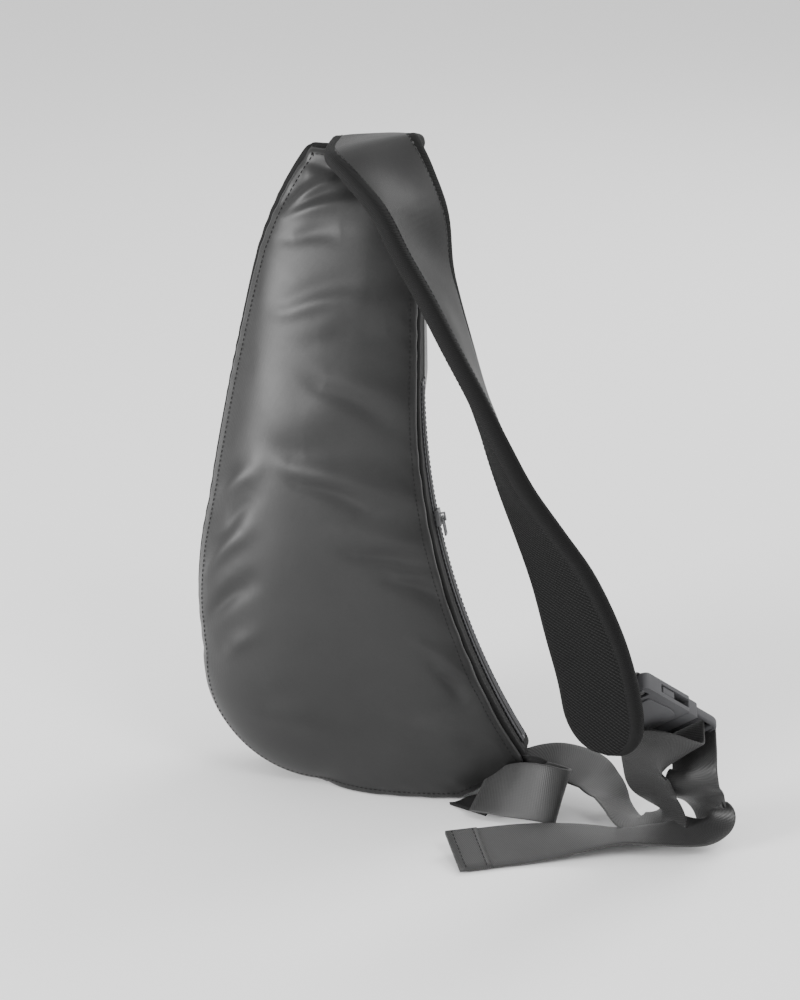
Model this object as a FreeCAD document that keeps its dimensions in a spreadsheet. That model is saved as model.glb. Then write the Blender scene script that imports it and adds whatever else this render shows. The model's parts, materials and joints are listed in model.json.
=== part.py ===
import FreeCAD, Part
import math
import os

import Sketcher
from FreeCAD import Placement, Rotation, Vector

# Sling bag standing on its base. Millimetres. X to the bag's right seen from its back panel,
# Y away from the wearer's back, Z up. The origin is the centre of the flat base.

SIZES = [
    ("bag_width", 234, "widest, side to side"),
    ("bag_height", 448, "base to top seam"),
    ("bag_depth", 110, "at the belly"),
    ("shell_wall", 2, "nylon with its backing"),
    ("foam_thick", 4, "back padding"),
    ("lining_thick", 1, "lining cloth"),
    ("lining_gap", 1, "air between lining and shell"),
    ("tape_width", 6, "zip tape showing each side of the coil"),
    ("tape_thick", 1, "zip tape"),
    ("coil_width", 3, "both halves of a closed coil"),
    ("coil_height", 3, "coil, out of the tape's plane"),
    ("main_zip_setback", 12, "main zip, from the middle of the side wall towards the wearer"),
    ("stop_length", 3, "zip end stop"),
    ("slider_length", 11, "zip slider"),
    ("slider_width", 9, "zip slider"),
    ("plate_thick", 2, "slider plate"),
    ("slider_clear", 0.5, "slider over coil"),
    ("pull_length", 13, "pull loop"),
    ("pull_width", 5.5, "pull loop"),
    ("pull_wire", 1.4, "pull loop's wire"),
    ("pocket_margin", 12, "pocket edge in from the panel's edge"),
    ("lower_pocket_depth", 9, "lower front pocket"),
    ("lower_pocket_low", 42, "lower pocket's bottom edge above the base"),
    ("lower_pocket_tall", 160, "lower pocket"),
    ("upper_pocket_depth", 13, "upper front pocket, stuffed"),
    ("pocket_gap", 20, "between the two pockets"),
    ("upper_pocket_drop", 58, "upper pocket's top edge below the top seam"),
    ("upper_pocket_shift", 16, "upper pocket, towards the zip side"),
    ("pocket_zip_drop", 22, "pocket zip below the pocket's top edge"),
    ("strap_width", 60, "padded strap"),
    ("strap_cover", 1.5, "strap's nylon face"),
    ("strap_foam", 5.5, "strap's foam core"),
    ("strap_mesh", 2, "strap's mesh face"),
    ("strap_edge", 2, "binding outside the strap's edges"),
    ("webbing_width", 38, "inch and a half webbing"),
    ("webbing_thick", 1.5, "webbing"),
    ("hem_length", 22, "folded hem at the webbing's tail"),
    ("tab_length", 12, "corner tab that holds the webbing"),
    ("tab_thick", 4, "corner tab"),
    ("socket_length", 42, "buckle socket"),
    ("buckle_width", 50, "buckle"),
    ("buckle_thick", 12, "buckle"),
    ("buckle_wall", 2.4, "buckle socket wall"),
    ("bar_length", 4, "socket's webbing bar, along the buckle"),
    ("slot_length", 4, "socket's webbing slot, along the buckle"),
    ("plug_length", 36, "buckle plug outside the socket"),
    ("mouth_gap", 0.5, "plug shoulder to socket mouth"),
    ("prong_length", 25, "latch prong"),
    ("prong_width", 4, "latch prong's arm"),
    ("prong_height", 5.2, "latch prong"),
    ("prong_spread", 20, "between the two prongs' centres at their roots"),
    ("barb_reach", 24.5, "barb's outer face from the buckle's middle"),
    ("barb_length", 11, "barb along the buckle"),
    ("barb_swing", 1.8, "how far back a barb's corner travels when it is squeezed"),
    ("rail_width", 4, "ladder lock side rail"),
    ("lock_bar", 4, "ladder lock bar"),
    ("lock_thick", 5, "ladder lock bar"),
    ("running_clear", 0.4, "between pieces that move on each other"),
]

doc = FreeCAD.newDocument("sling_bag")
sheet = doc.addObject("Spreadsheet::Sheet", "Sizes")
for row, (alias, size, note) in enumerate(SIZES, start=1):
    sheet.set("A%d" % row, note)
    sheet.set("B%d" % row, str(size))
    sheet.setAlias("B%d" % row, alias)
doc.recompute()


def size_of(alias):
    """The value of one cell of the sheet."""
    return float(getattr(sheet, alias))


# ---- outlines, as shares of the bag's width, depth and height -----------------------------

# Seen from the back panel: corners, and a point on each round stretch between two corners.
BASE_LEFT, BELLY_LEFT, SIDE_LEFT = (-0.192, 0.0), (-0.547, 0.212), (-0.517, 0.446)
SHOULDER_LEFT, TOP_LEFT, TOP_RIGHT = (-0.35, 0.837), (-0.171, 1.0), (0.098, 1.0)
ZIP_TOP, ZIP_LOW, BASE_RIGHT = (0.1026, 0.67), (0.427, 0.069), (0.222, 0.0)
ZIP_MIDDLE = (0.1795, 0.357)
FRONT_OUTLINE = [
    (BASE_LEFT, None),
    (BELLY_LEFT, (-0.419, 0.0446)),
    (SIDE_LEFT, (-0.5577, 0.3125)),
    (SHOULDER_LEFT, (-0.444, 0.636)),
    (TOP_LEFT, (-0.2735, 0.9375)),
    (TOP_RIGHT, None),
    (ZIP_TOP, None),
    (ZIP_LOW, ZIP_MIDDLE),
    (BASE_RIGHT, None),
]

# Seen from the side: the wearer's side is negative, the front positive.
FRONT_TOP, FRONT_BELLY, FRONT_MIDDLE = (0.109, 1.0), (0.527, 0.335), (0.418, 0.692)
SIDE_PROFILE = [
    ((0.418, 0.0), None),
    (FRONT_BELLY, (0.515, 0.15)),
    (FRONT_TOP, FRONT_MIDDLE),
    ((-0.109, 1.0), None),
    ((-0.4, 0.67), (-0.29, 0.86)),
    ((-0.382, 0.0), (-0.473, 0.3)),
]


def sketch_outline(name, steps, across, plane):
    """A closed sketch of lines and arcs, every corner driven by shares of two sizes."""
    sketch = doc.addObject("Sketcher::SketchObject", name)
    sketch.Placement = plane
    wide, tall = size_of(across), size_of("bag_height")

    def spot(share):
        """A corner of the sketch from its shares of the two sizes."""
        return Vector(share[0] * wide, share[1] * tall, 0)

    def hold(geometry, end, share):
        """Tie a point of the sketch to its shares of the two sizes."""
        for kind, part, alias in (("DistanceX", share[0], across), ("DistanceY", share[1], "bag_height")):
            value = part * size_of(alias)
            index = sketch.addConstraint(Sketcher.Constraint(kind, -1, 1, geometry, end, value))
            sketch.setExpression("Constraints[%d]" % index, "Sizes.%s * %s" % (alias, part))

    ends = []
    for index, (corner, _) in enumerate(steps):
        after, middle = steps[(index + 1) % len(steps)]
        start, finish = spot(corner), spot(after)
        if middle is None:
            line = sketch.addGeometry(Part.LineSegment(start, finish))
            ends.append((line, 1, 2))
            continue
        arc = sketch.addGeometry(Part.Arc(start, spot(middle), finish))
        forward = sketch.getPoint(arc, 1).distanceToPoint(start) < 1e-3
        ends.append((arc, 1, 2) if forward else (arc, 2, 1))
        point = sketch.addGeometry(Part.Point(spot(middle)), True)
        hold(point, 1, middle)
        sketch.addConstraint(Sketcher.Constraint("PointOnObject", point, 1, arc))
    for index, (corner, _) in enumerate(steps):
        geometry, first, _ = ends[index]
        before, _, last = ends[index - 1]
        sketch.addConstraint(Sketcher.Constraint("Coincident", before, last, geometry, first))
        hold(geometry, first, corner)
    return sketch


FACING_FRONT = Placement(Vector(0, 0, 0), Rotation(Vector(1, 0, 0), 90))
FACING_SIDE = Placement(Vector(0, 0, 0), Rotation(Vector(1, 1, 1), 120))
outline = sketch_outline("outline", FRONT_OUTLINE, "bag_width", FACING_FRONT)
profile = sketch_outline("profile", SIDE_PROFILE, "bag_depth", FACING_SIDE)
doc.recompute()


# ---- small makers --------------------------------------------------------------------------

nodes = []


def node(thing, name):
    """Name a finished sub-part, which is then exported."""
    thing.Label = name
    nodes.append(thing)
    return thing


def bind(thing, **formulas):
    """Bind properties of an object to formulas over the sheet."""
    for prop, formula in formulas.items():
        thing.setExpression(prop, formula)
    return thing


def extruded(name, base, direction, length):
    """A solid, as long as the formula says, centred on its sketch's plane."""
    solid = doc.addObject("Part::Extrusion", name)
    solid.Base = base
    solid.DirMode = "Custom"
    solid.Dir = direction
    solid.Solid = True
    solid.Symmetric = True
    return bind(solid, LengthFwd=length)


def inset(name, distance):
    """The front outline, drawn in by the distance that the formula says."""
    flat = doc.addObject("Part::Offset2D", name)
    flat.Source = outline
    flat.Join = 0
    return bind(flat, Value="-(%s)" % distance)


def cut(name, base, tool):
    """The first shape less the second."""
    result = doc.addObject("Part::Cut", name)
    result.Base, result.Tool = base, tool
    return result


def common(name, *shapes):
    """The room that all the shapes share."""
    result = doc.addObject("Part::MultiCommon", name)
    result.Shapes = list(shapes)
    return result


def fused(name, *shapes):
    """The shapes joined into one."""
    result = doc.addObject("Part::MultiFuse", name)
    result.Shapes = list(shapes)
    return result


def block(name, low, high, placement=None):
    """A box between two corners, each corner's coordinates given as formulas."""
    box = doc.addObject("Part::Box", name)
    for side, a, b in zip(("Length", "Width", "Height"), low, high):
        box.setExpression(side, "(%s) - (%s)" % (b, a))
    if placement is None:
        for axis, a in zip("xyz", low):
            box.setExpression("Placement.Base.%s" % axis, str(a))
        return box
    doc.recompute()
    corner = Vector(*(evaluated(a) for a in low))
    box.Placement = placement.multiply(Placement(corner, Rotation()))
    return box


def evaluated(formula):
    """A formula's present value."""
    return float(sheet.evalExpression(str(formula)))


def slab(name, tool, *shift):
    """A copy of a solid that stays linked to it, moved by three formulas."""
    copy = doc.addObject("Part::Compound", name)
    copy.Links = [tool]
    for axis, formula in zip("xyz", shift):
        copy.setExpression("Placement.Base.%s" % axis, str(formula))
    return copy


# ---- bag shell -----------------------------------------------------------------------------

REACH = "3 * Sizes.bag_depth"
SPAN = "3 * Sizes.bag_width"
ALONG_Y, ALONG_X = Vector(0, 1, 0), Vector(1, 0, 0)

front_block = extruded("front_block", outline, ALONG_Y, REACH)
side_block = extruded("side_block", profile, ALONG_X, SPAN)
inner_outline = inset("inner_outline", "Sizes.shell_wall")
inner_block = extruded("inner_block", inner_outline, ALONG_Y, REACH)
past_back = slab("past_back", side_block, 0, "Sizes.shell_wall", 0)
past_foam = slab("past_foam", side_block, 0, "Sizes.shell_wall + Sizes.foam_thick", 0)
before_front = slab("before_front", side_block, 0, "-Sizes.shell_wall", 0)

bag_block = common("bag_block", front_block, side_block)
node(cut("back_panel_cut", bag_block, past_back), "back_panel")
node(cut("front_panel_cut", bag_block, before_front), "front_panel")
foam_room = common("foam_room", inner_block, past_back, side_block, before_front)
node(cut("back_foam_cut", foam_room, past_foam), "back_foam")
wall_block = common("wall_block", front_block, past_back, before_front, side_block)
wall_ring = cut("wall_ring", wall_block, inner_block)

lining_outline = inset("lining_outline", "Sizes.shell_wall + Sizes.lining_gap")
lining_block = extruded("lining_block", lining_outline, ALONG_Y, REACH)
BACK_LINING = "Sizes.shell_wall + Sizes.foam_thick + Sizes.lining_gap"
FRONT_LINING = "-(Sizes.shell_wall + Sizes.lining_gap)"
back_lining_near = slab("back_lining_near", side_block, 0, BACK_LINING, 0)
back_lining_far = slab("back_lining_far", side_block, 0, BACK_LINING + " + Sizes.lining_thick", 0)
front_lining_near = slab("front_lining_near", side_block, 0, FRONT_LINING, 0)
front_lining_far = slab("front_lining_far", side_block, 0, FRONT_LINING + " - Sizes.lining_thick", 0)
lining_room = common("lining_room", lining_block, back_lining_near, front_lining_near)
node(cut("lining_back_cut", lining_room, back_lining_far), "lining_back")
node(cut("lining_front_cut", lining_room, front_lining_far), "lining_front")


# ---- main zip, along the round inner side ----------------------------------------------------

def circle_through(first, middle, last):
    """Centre and radius of the circle through three points given as (across, up)."""
    circle = Part.Arc(*(Vector(p[0], p[1], 0) for p in (first, middle, last))).toShape().Curve
    return circle.Center, circle.Radius


def shares(point, across):
    """A point of an outline from its shares of one size and the bag's height."""
    return (point[0] * size_of(across), point[1] * size_of("bag_height"))


WALL = size_of("shell_wall")
COIL_HEIGHT = size_of("coil_height")
ZIP_END_MARGIN = 10
zip_centre, ZIP_RADIUS = circle_through(*(shares(p, "bag_width") for p in (ZIP_TOP, ZIP_MIDDLE, ZIP_LOW)))
ZIP_AXIS_POINT = Vector(zip_centre.x, 0, zip_centre.y)


def angle_at(share):
    """Direction of a point of the outline from the zip arc's centre, in degrees."""
    across, up = shares(share, "bag_width")
    return math.degrees(math.atan2(up - zip_centre.y, across - zip_centre.x)) % 360


MARGIN_ANGLE = math.degrees(ZIP_END_MARGIN / ZIP_RADIUS)
ZIP_START = angle_at(ZIP_TOP) + MARGIN_ANGLE
ZIP_END = angle_at(ZIP_LOW) - MARGIN_ANGLE
STOP_ANGLE = math.degrees(size_of("stop_length") / ZIP_RADIUS)
ZIP_Y = "(-Sizes.main_zip_setback)"


def ring_piece(name, radius_low, radius_high, y_low, y_high, start, end):
    """A piece of a ring about the zip's centre: radii and depths as formulas, ends in degrees."""
    walls = []
    for suffix, radius in (("_outer", radius_high), ("_inner", radius_low)):
        cylinder = doc.addObject("Part::Cylinder", name + suffix)
        turn = Rotation(Vector(1, 0, 0), -90).multiply(Rotation(Vector(0, 0, 1), -end))
        cylinder.Placement = Placement(ZIP_AXIS_POINT, turn)
        cylinder.Angle = end - start
        bind(cylinder, Radius=radius, Height="(%s) - (%s)" % (y_high, y_low))
        cylinder.setExpression("Placement.Base.y", y_low)
        walls.append(cylinder)
    return cut(name, *walls)


def zip_radius(depth):
    """Formula of the radius that lies the given depth into the bag from the side wall."""
    return "%.6f + %s" % (ZIP_RADIUS, depth)


HALF_GAP = "(Sizes.coil_width / 2 + Sizes.tape_width)"
HALF_COIL = "(Sizes.coil_width / 2)"
ZONE = (zip_radius("-Sizes.shell_wall"), zip_radius("2 * Sizes.shell_wall"))
whole_zone = ring_piece("zip_zone", *ZONE, "-" + REACH, REACH, ZIP_START, ZIP_END)
back_zone = ring_piece("back_zone", *ZONE, "-" + REACH, ZIP_Y + " - " + HALF_GAP, ZIP_START, ZIP_END)
front_zone = ring_piece("front_zone", *ZONE, ZIP_Y + " + " + HALF_GAP, REACH, ZIP_START, ZIP_END)
node(cut("gusset_cut", wall_ring, whole_zone), "gusset_outer")
node(common("gusset_back_common", wall_ring, back_zone), "gusset_zip_back")
node(common("gusset_front_common", wall_ring, front_zone), "gusset_zip_front")

TAPE_DEPTHS = (zip_radius("(Sizes.shell_wall - Sizes.tape_thick) / 2"),
               zip_radius("(Sizes.shell_wall + Sizes.tape_thick) / 2"))
COIL_DEPTHS = (zip_radius("(Sizes.shell_wall - Sizes.coil_height) / 2"),
               zip_radius("(Sizes.shell_wall + Sizes.coil_height) / 2"))
for side, sign in (("back", "-"), ("front", "+")):
    near, far = ZIP_Y + sign + HALF_COIL, ZIP_Y + sign + HALF_GAP
    low, high = (far, near) if sign == "-" else (near, far)
    node(ring_piece("tape_" + side, *TAPE_DEPTHS, low, high, ZIP_START, ZIP_END), "main_zip_tape_" + side)
    low, high = (near, ZIP_Y) if sign == "-" else (ZIP_Y, near)
    node(ring_piece("coil_" + side, *COIL_DEPTHS, low, high, ZIP_START + STOP_ANGLE, ZIP_END - STOP_ANGLE),
         "main_zip_coil_" + side)
STOP_SPAN = (ZIP_Y + "-" + HALF_COIL, ZIP_Y + "+" + HALF_COIL)
top_stop = ring_piece("top_stop", *COIL_DEPTHS, *STOP_SPAN, ZIP_START, ZIP_START + STOP_ANGLE)
end_stop = ring_piece("end_stop", *COIL_DEPTHS, *STOP_SPAN, ZIP_END - STOP_ANGLE, ZIP_END)
stops = doc.addObject("Part::Compound", "stops")
stops.Links = [top_stop, end_stop]
node(stops, "main_zip_stops")


# ---- zip sliders and pulls -------------------------------------------------------------------

# Slider frame: X along the zip, Y across the tape, Z out of the bag, origin on the coil's crown.
BRIDGE_HALF, BRIDGE_POST, BRIDGE_WIDE, BRIDGE_TALL = 3, 1, 2, 2.5
PLATE_TOP = "(Sizes.slider_clear + Sizes.plate_thick)"
PULL_AXIS_HEIGHT = size_of("slider_clear") + size_of("plate_thick") + BRIDGE_TALL / 2


def slider_and_pull(name, frame):
    """A slider with its bridge, and the wire loop that hangs through the bridge."""
    half, side, crown = "Sizes.slider_length / 2", "Sizes.slider_width / 2", PLATE_TOP
    top = "%s + %s" % (crown, BRIDGE_TALL)
    lips = [block("%s_lip%d" % (name, sign),
                  ("-" + half, "(%s) * %d - %s" % (side + " - 0.5", sign, 0.5), -0.5),
                  (half, "(%s) * %d + %s" % (side + " - 0.5", sign, 0.5), "Sizes.slider_clear"), frame)
            for sign in (-1, 1)]
    plate = block(name + "_plate", ("-" + half, "-" + side, "Sizes.slider_clear"), (half, side, crown), frame)
    posts = [block("%s_post%d" % (name, sign),
                   (sign * (BRIDGE_HALF - BRIDGE_POST / 2) - BRIDGE_POST / 2, -BRIDGE_WIDE / 2, crown),
                   (sign * (BRIDGE_HALF - BRIDGE_POST / 2) + BRIDGE_POST / 2, BRIDGE_WIDE / 2, top), frame)
             for sign in (-1, 1)]
    beam = block(name + "_beam", (-BRIDGE_HALF, -BRIDGE_WIDE / 2, top),
                 (BRIDGE_HALF, BRIDGE_WIDE / 2, top + " + %s" % BRIDGE_POST), frame)
    node(fused(name + "_slider_fuse", plate, *lips, *posts, beam), name + "_slider")

    wire, long, wide = "Sizes.pull_wire / 2", "Sizes.pull_length", "Sizes.pull_width / 2"
    low, high = "%s - %s" % (PULL_AXIS_HEIGHT, wire), "%s + %s" % (PULL_AXIS_HEIGHT, wire)
    sides = block(name + "_loop_sides", (0, "-" + wide, low), (long, wide, high), frame)
    axle = doc.addObject("Part::Cylinder", name + "_loop_axle")
    bind(axle, Radius=wire, Height="Sizes.pull_width")
    doc.recompute()
    axle_start = Vector(0, axle.Height.Value / 2, PULL_AXIS_HEIGHT)
    axle.Placement = frame.multiply(Placement(axle_start, Rotation(Vector(1, 0, 0), 90)))
    loop = fused(name + "_loop", sides, axle)
    hole = block(name + "_hole", (wire, "-%s + Sizes.pull_wire * 0.8" % wide, low + " - 1"),
                 (long + " - Sizes.pull_wire", wide + " - Sizes.pull_wire * 0.8", high + " + 1"), frame)
    node(cut(name + "_pull_cut", loop, hole), name + "_pull")


def frame_from(origin, along, outward):
    """Placement whose X runs along the first direction and whose Z points outward."""
    across = outward.cross(along)
    return Placement(FreeCAD.Matrix(along.x, across.x, outward.x, origin.x,
                                    along.y, across.y, outward.y, origin.y,
                                    along.z, across.z, outward.z, origin.z,
                                    0, 0, 0, 1))


MAIN_SLIDER_SHARE = 0.36   # of the way down the zip
SLIDER_ANGLE = ZIP_START + MAIN_SLIDER_SHARE * (ZIP_END - ZIP_START)
CROWN_RADIUS = ZIP_RADIUS + (WALL - COIL_HEIGHT) / 2
radial = Vector(math.cos(math.radians(SLIDER_ANGLE)), 0, math.sin(math.radians(SLIDER_ANGLE)))
down_zip = Vector(-radial.z, 0, radial.x)
slider_spot = ZIP_AXIS_POINT + radial * CROWN_RADIUS + Vector(0, -size_of("main_zip_setback"), 0)
MAIN_FRAME = frame_from(slider_spot, down_zip, radial * -1)
slider_and_pull("main_zip", MAIN_FRAME)


# ---- front pockets ---------------------------------------------------------------------------

def front_face(height):
    """Depth of the bag's front face at a height, and its outward direction there."""
    centre, radius = circle_through(*(shares(p, "bag_depth") for p in (FRONT_BELLY, FRONT_MIDDLE, FRONT_TOP)))
    rise = height - centre.y
    depth = centre.x + math.sqrt(radius ** 2 - rise ** 2)
    return depth, Vector(0, depth - centre.x, rise).normalize()


def front_pocket(name, low, tall, shift, zip_from, zip_to):
    """A pocket standing off the front panel, with a zip across near its top edge."""
    deep, wall = "Sizes.%s_pocket_depth" % name, "Sizes.shell_wall"
    layers = []
    for part, margin, thick, edge in (("outer", "Sizes.pocket_margin", deep, "0"),
                                      ("room", "Sizes.pocket_margin + " + wall, deep + " - " + wall, wall)):
        flat = inset("%s_%s_flat" % (name, part), margin)
        solid = extruded("%s_%s_block" % (name, part), flat, ALONG_Y, REACH)
        moved = slab("%s_%s_moved" % (name, part), solid, shift, 0, 0)
        ahead = slab("%s_%s_ahead" % (name, part), side_block, 0, thick, 0)
        band = block("%s_%s_band" % (name, part), ("-" + SPAN, 0, low + " + " + edge),
                     (SPAN, REACH, low + " + " + tall + " - " + edge))
        standing = common("%s_%s_common" % (name, part), moved, ahead, band)
        layers.append(cut("%s_%s_layer" % (name, part), standing, side_block))
    shell = cut(name + "_shell", *layers)

    height = evaluated("%s + %s - Sizes.pocket_zip_drop" % (low, tall))
    depth, outward = front_face(height)
    start, end = zip_from * size_of("bag_width"), zip_to * size_of("bag_width")
    origin = Vector(0, depth + size_of(name + "_pocket_depth"), height)
    frame = frame_from(origin, Vector(-1, 0, 0), outward)
    slot = block(name + "_zip_slot", (-end, "-" + HALF_GAP, -20), (-start, HALF_GAP, 20), frame)
    front_half = block(name + "_front_half", (-end - 1, "-2 * " + HALF_GAP, "-%s * 3" % wall),
                       (-start + 1, "2 * " + HALF_GAP, 20), frame)
    node(cut(name + "_pocket_cut", shell, common(name + "_slot_front", slot, front_half)), name + "_pocket")

    inside, outside = "-(%s + Sizes.tape_thick) / 2" % wall, "-(%s - Sizes.tape_thick) / 2" % wall
    coil_in, coil_out = "-(%s + Sizes.coil_height) / 2" % wall, "-(%s - Sizes.coil_height) / 2" % wall
    for part, near, far, below, above in (("tapes", HALF_COIL, HALF_GAP, inside, outside),
                                          ("coils", "0", HALF_COIL, coil_in, coil_out)):
        one = block("%s_%s_one" % (name, part), (-end, near, below), (-start, far, above), frame)
        two = block("%s_%s_two" % (name, part),
                    (-end, "-(%s)" % far, below), (-start, "-(%s)" % near, above), frame)
        pair = doc.addObject("Part::Compound", "%s_%s" % (name, part))
        pair.Links = [one, two]
        node(pair, "%s_zip_%s" % (name, part))
    crown = (COIL_HEIGHT - WALL) / 2
    parked = end - size_of("slider_length")
    slider_frame = frame_from(origin + Vector(parked, 0, 0) + outward * crown, Vector(-1, 0, 0), outward)
    slider_and_pull(name + "_zip", slider_frame)
    return slider_frame, parked - start - size_of("slider_length")


UPPER_LOW = "(Sizes.lower_pocket_low + Sizes.lower_pocket_tall + Sizes.pocket_gap)"
UPPER_TALL = "(Sizes.bag_height - Sizes.upper_pocket_drop - %s)" % UPPER_LOW
LOWER_FRAME, LOWER_TRAVEL = front_pocket("lower", "Sizes.lower_pocket_low", "Sizes.lower_pocket_tall",
                                         0, -0.42, 0.07)
UPPER_FRAME, UPPER_TRAVEL = front_pocket("upper", UPPER_LOW, UPPER_TALL, "Sizes.upper_pocket_shift",
                                         -0.30, 0.09)


# ---- padded strap ----------------------------------------------------------------------------

# Middle of the strap from the top seam down to its rounded end: place, turn of its outer face
# about its own line in degrees, and share of the full width.
STRAP_REST_TOP, STRAP_REST_WIDTH = 448, 234
STRAP_LINE = [
    ((-9, 10, 452.9), -24, 1.0),
    ((-9, -18, 454.3), -6, 1.0),
    ((-4, -33, 450.5), 20, 1.0),
    ((7, -46, 438), 31, 1.0),
    ((22, -64, 414), 44, 1.0),
    ((33, -80, 387), 60, 1.0),
    ((44, -90, 365), 70, 1.0),
    ((58, -101, 336), 78, 1.0),
    ((72, -110, 307), 86, 1.0),
    ((84, -116, 280), 93, 1.0),
    ((97, -120, 252), 99, 1.0),
    ((112, -123, 225), 108, 1.0),
    ((128, -126, 196), 120, 1.0),
    ((142, -128, 160), 131, 1.0),
    ((151, -128, 130), 134, 1.0),
    ((156, -127, 104), 135, 0.96),
    ((158.5, -126.6, 90), 135, 0.8),
    ((160, -126.3, 82), 135, 0.5),
]
OUTER_FACE = Vector(0.13, -0.94, 0.31)


def strap_sections():
    """Middle, width direction, face direction and width share at each place on the strap."""
    top, foot = size_of("bag_height") - STRAP_REST_TOP, STRAP_LINE[-1][0][2]
    side = (size_of("bag_width") - STRAP_REST_WIDTH) * (TOP_LEFT[0] + TOP_RIGHT[0]) / 2
    middles = []
    for (x, y, z), _, _ in STRAP_LINE:
        share = min(1, (z - foot) / (STRAP_REST_TOP - foot))
        middles.append(Vector(x + side * share, y, z + top * share))
    sections = []
    for index, (_, turn, share) in enumerate(STRAP_LINE):
        before, after = middles[max(index - 1, 0)], middles[min(index + 1, len(middles) - 1)]
        along = (after - before).normalize()
        facing = (OUTER_FACE - along * OUTER_FACE.dot(along)).normalize()
        sideways = facing.cross(along)
        angle = math.radians(turn)
        face = facing * math.cos(angle) + sideways * math.sin(angle)
        sections.append((middles[index], face.cross(along), face, share))
    return sections


def layer(sections, low, high, left, right):
    """A strap layer: distances out of the mesh-to-nylon middle, and edges as width shares."""
    wires = []
    for middle, width, face, share in sections:
        half = size_of("strap_width") / 2 * share
        corners = ((left, low), (right, low), (right, high), (left, high))
        spots = [middle + width * edge(half) + face * rise for edge, rise in corners]
        wires.append(Part.makePolygon(spots + spots[:1]))
    return Part.makeLoft(wires, True, True)


def strap_feature(name, *shapes):
    """A node from plain solids: one, or several kept apart."""
    feature = doc.addObject("Part::Feature", name + "_shape")
    feature.Shape = shapes[0] if len(shapes) == 1 else Part.makeCompound(list(shapes))
    return node(feature, name)


STRAP_SECTIONS = strap_sections()
COVER, FOAM, MESH, EDGE = (size_of("strap_" + word) for word in ("cover", "foam", "mesh", "edge"))
HALF_PAD = (COVER + FOAM + MESH) / 2
FOAM_LOW, FOAM_HIGH = -HALF_PAD + MESH, HALF_PAD - COVER


def edge_at(sign, inset):
    """Rule for one edge of a layer: the signed half width, drawn in by an inset."""
    def rule(half):
        """Where the edge lies when the strap is this wide."""
        return sign * (half - inset)
    return rule


inner_left, inner_right = edge_at(-1, EDGE), edge_at(1, EDGE)
outer_left, outer_right = edge_at(-1, 0), edge_at(1, 0)
strap_feature("strap_outer", layer(STRAP_SECTIONS, FOAM_HIGH, HALF_PAD, inner_left, inner_right))
strap_feature("strap_foam", layer(STRAP_SECTIONS, FOAM_LOW, FOAM_HIGH, inner_left, inner_right))
strap_feature("strap_mesh", layer(STRAP_SECTIONS, -HALF_PAD, FOAM_LOW, inner_left, inner_right))
end_middle, end_width, end_face, end_share = STRAP_SECTIONS[-1]
end_along = end_width.cross(end_face)
cap_sections = [STRAP_SECTIONS[-1], (end_middle - end_along * EDGE, end_width, end_face, end_share)]
strap_feature("strap_binding",
              layer(STRAP_SECTIONS, -HALF_PAD, HALF_PAD, outer_left, inner_left),
              layer(STRAP_SECTIONS, -HALF_PAD, HALF_PAD, inner_right, outer_right),
              layer(cap_sections, -HALF_PAD, HALF_PAD, outer_left, outer_right))


# ---- buckle ----------------------------------------------------------------------------------

# Buckle frame: X from the socket's bar to the plug, Y across, Z through its thickness.
BUCKLE_ORIGIN = Vector(162.4, -105, 113.5)
BUCKLE_ALONG = Vector(0.651, 0.495, -0.575).normalize()
BUCKLE_ACROSS = Vector(-0.753, 0.332, -0.567)
BUCKLE_OUT = BUCKLE_ALONG.cross(BUCKLE_ACROSS).normalize()
BUCKLE_FRAME = frame_from(BUCKLE_ORIGIN, BUCKLE_ALONG, BUCKLE_OUT)
HALF_WIDE, HALF_THICK = "Sizes.buckle_width / 2", "Sizes.buckle_thick / 2"
WEB_HALF = "(Sizes.webbing_width / 2 + 1)"
PRONG_AXIS = "(Sizes.socket_length + Sizes.mouth_gap - Sizes.running_clear - Sizes.prong_width / 2)"
PRONG_TIP = "(%s - Sizes.prong_length + Sizes.prong_width / 2)" % PRONG_AXIS


def buckle_socket():
    """Flat sleeve with a bar for the webbing, a mouth for the plug and open sides for its barbs."""
    body = block("socket_body", (0, "-" + HALF_WIDE, "-" + HALF_THICK),
                 ("Sizes.socket_length", HALF_WIDE, HALF_THICK))
    rounded = doc.addObject("Part::Fillet", "socket_rounded")
    rounded.Base = body
    doc.recompute()
    upright = [number for number, edge in enumerate(body.Shape.Edges, start=1)
               if abs(edge.tangentAt(edge.FirstParameter).z) > 0.99 and edge.CenterOfMass.x < 1]
    rounded.Edges = [(number, SOCKET_CORNER, SOCKET_CORNER) for number in upright]
    slot_start = "Sizes.bar_length"
    slot_end = "(Sizes.bar_length + Sizes.slot_length)"
    slot = block("socket_slot", (slot_start, "-" + WEB_HALF, "-20"), (slot_end, WEB_HALF, "20"))
    room = "(%s + Sizes.buckle_wall)" % slot_end
    mouth = block("socket_mouth", (room, "-(%s - Sizes.buckle_wall * 2)" % HALF_WIDE,
                                   "-(%s - Sizes.buckle_wall)" % HALF_THICK),
                  ("Sizes.socket_length + 1", "%s - Sizes.buckle_wall * 2" % HALF_WIDE,
                   "%s - Sizes.buckle_wall" % HALF_THICK))
    barb_back = "(%s - Sizes.running_clear - Sizes.barb_swing)" % PRONG_TIP
    barb_path = "(Sizes.prong_height / 2 + Sizes.running_clear)"
    sides = block("socket_sides", (barb_back, "-(%s + 1)" % HALF_WIDE, "-" + barb_path),
                  ("Sizes.socket_length + 1", "%s + 1" % HALF_WIDE, barb_path))
    hollow = fused("socket_hollow", slot, mouth, sides)
    socket = cut("socket_cut", rounded, hollow)
    doc.recompute()
    socket.Placement = BUCKLE_FRAME
    return node(socket, "buckle_socket")


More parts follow.
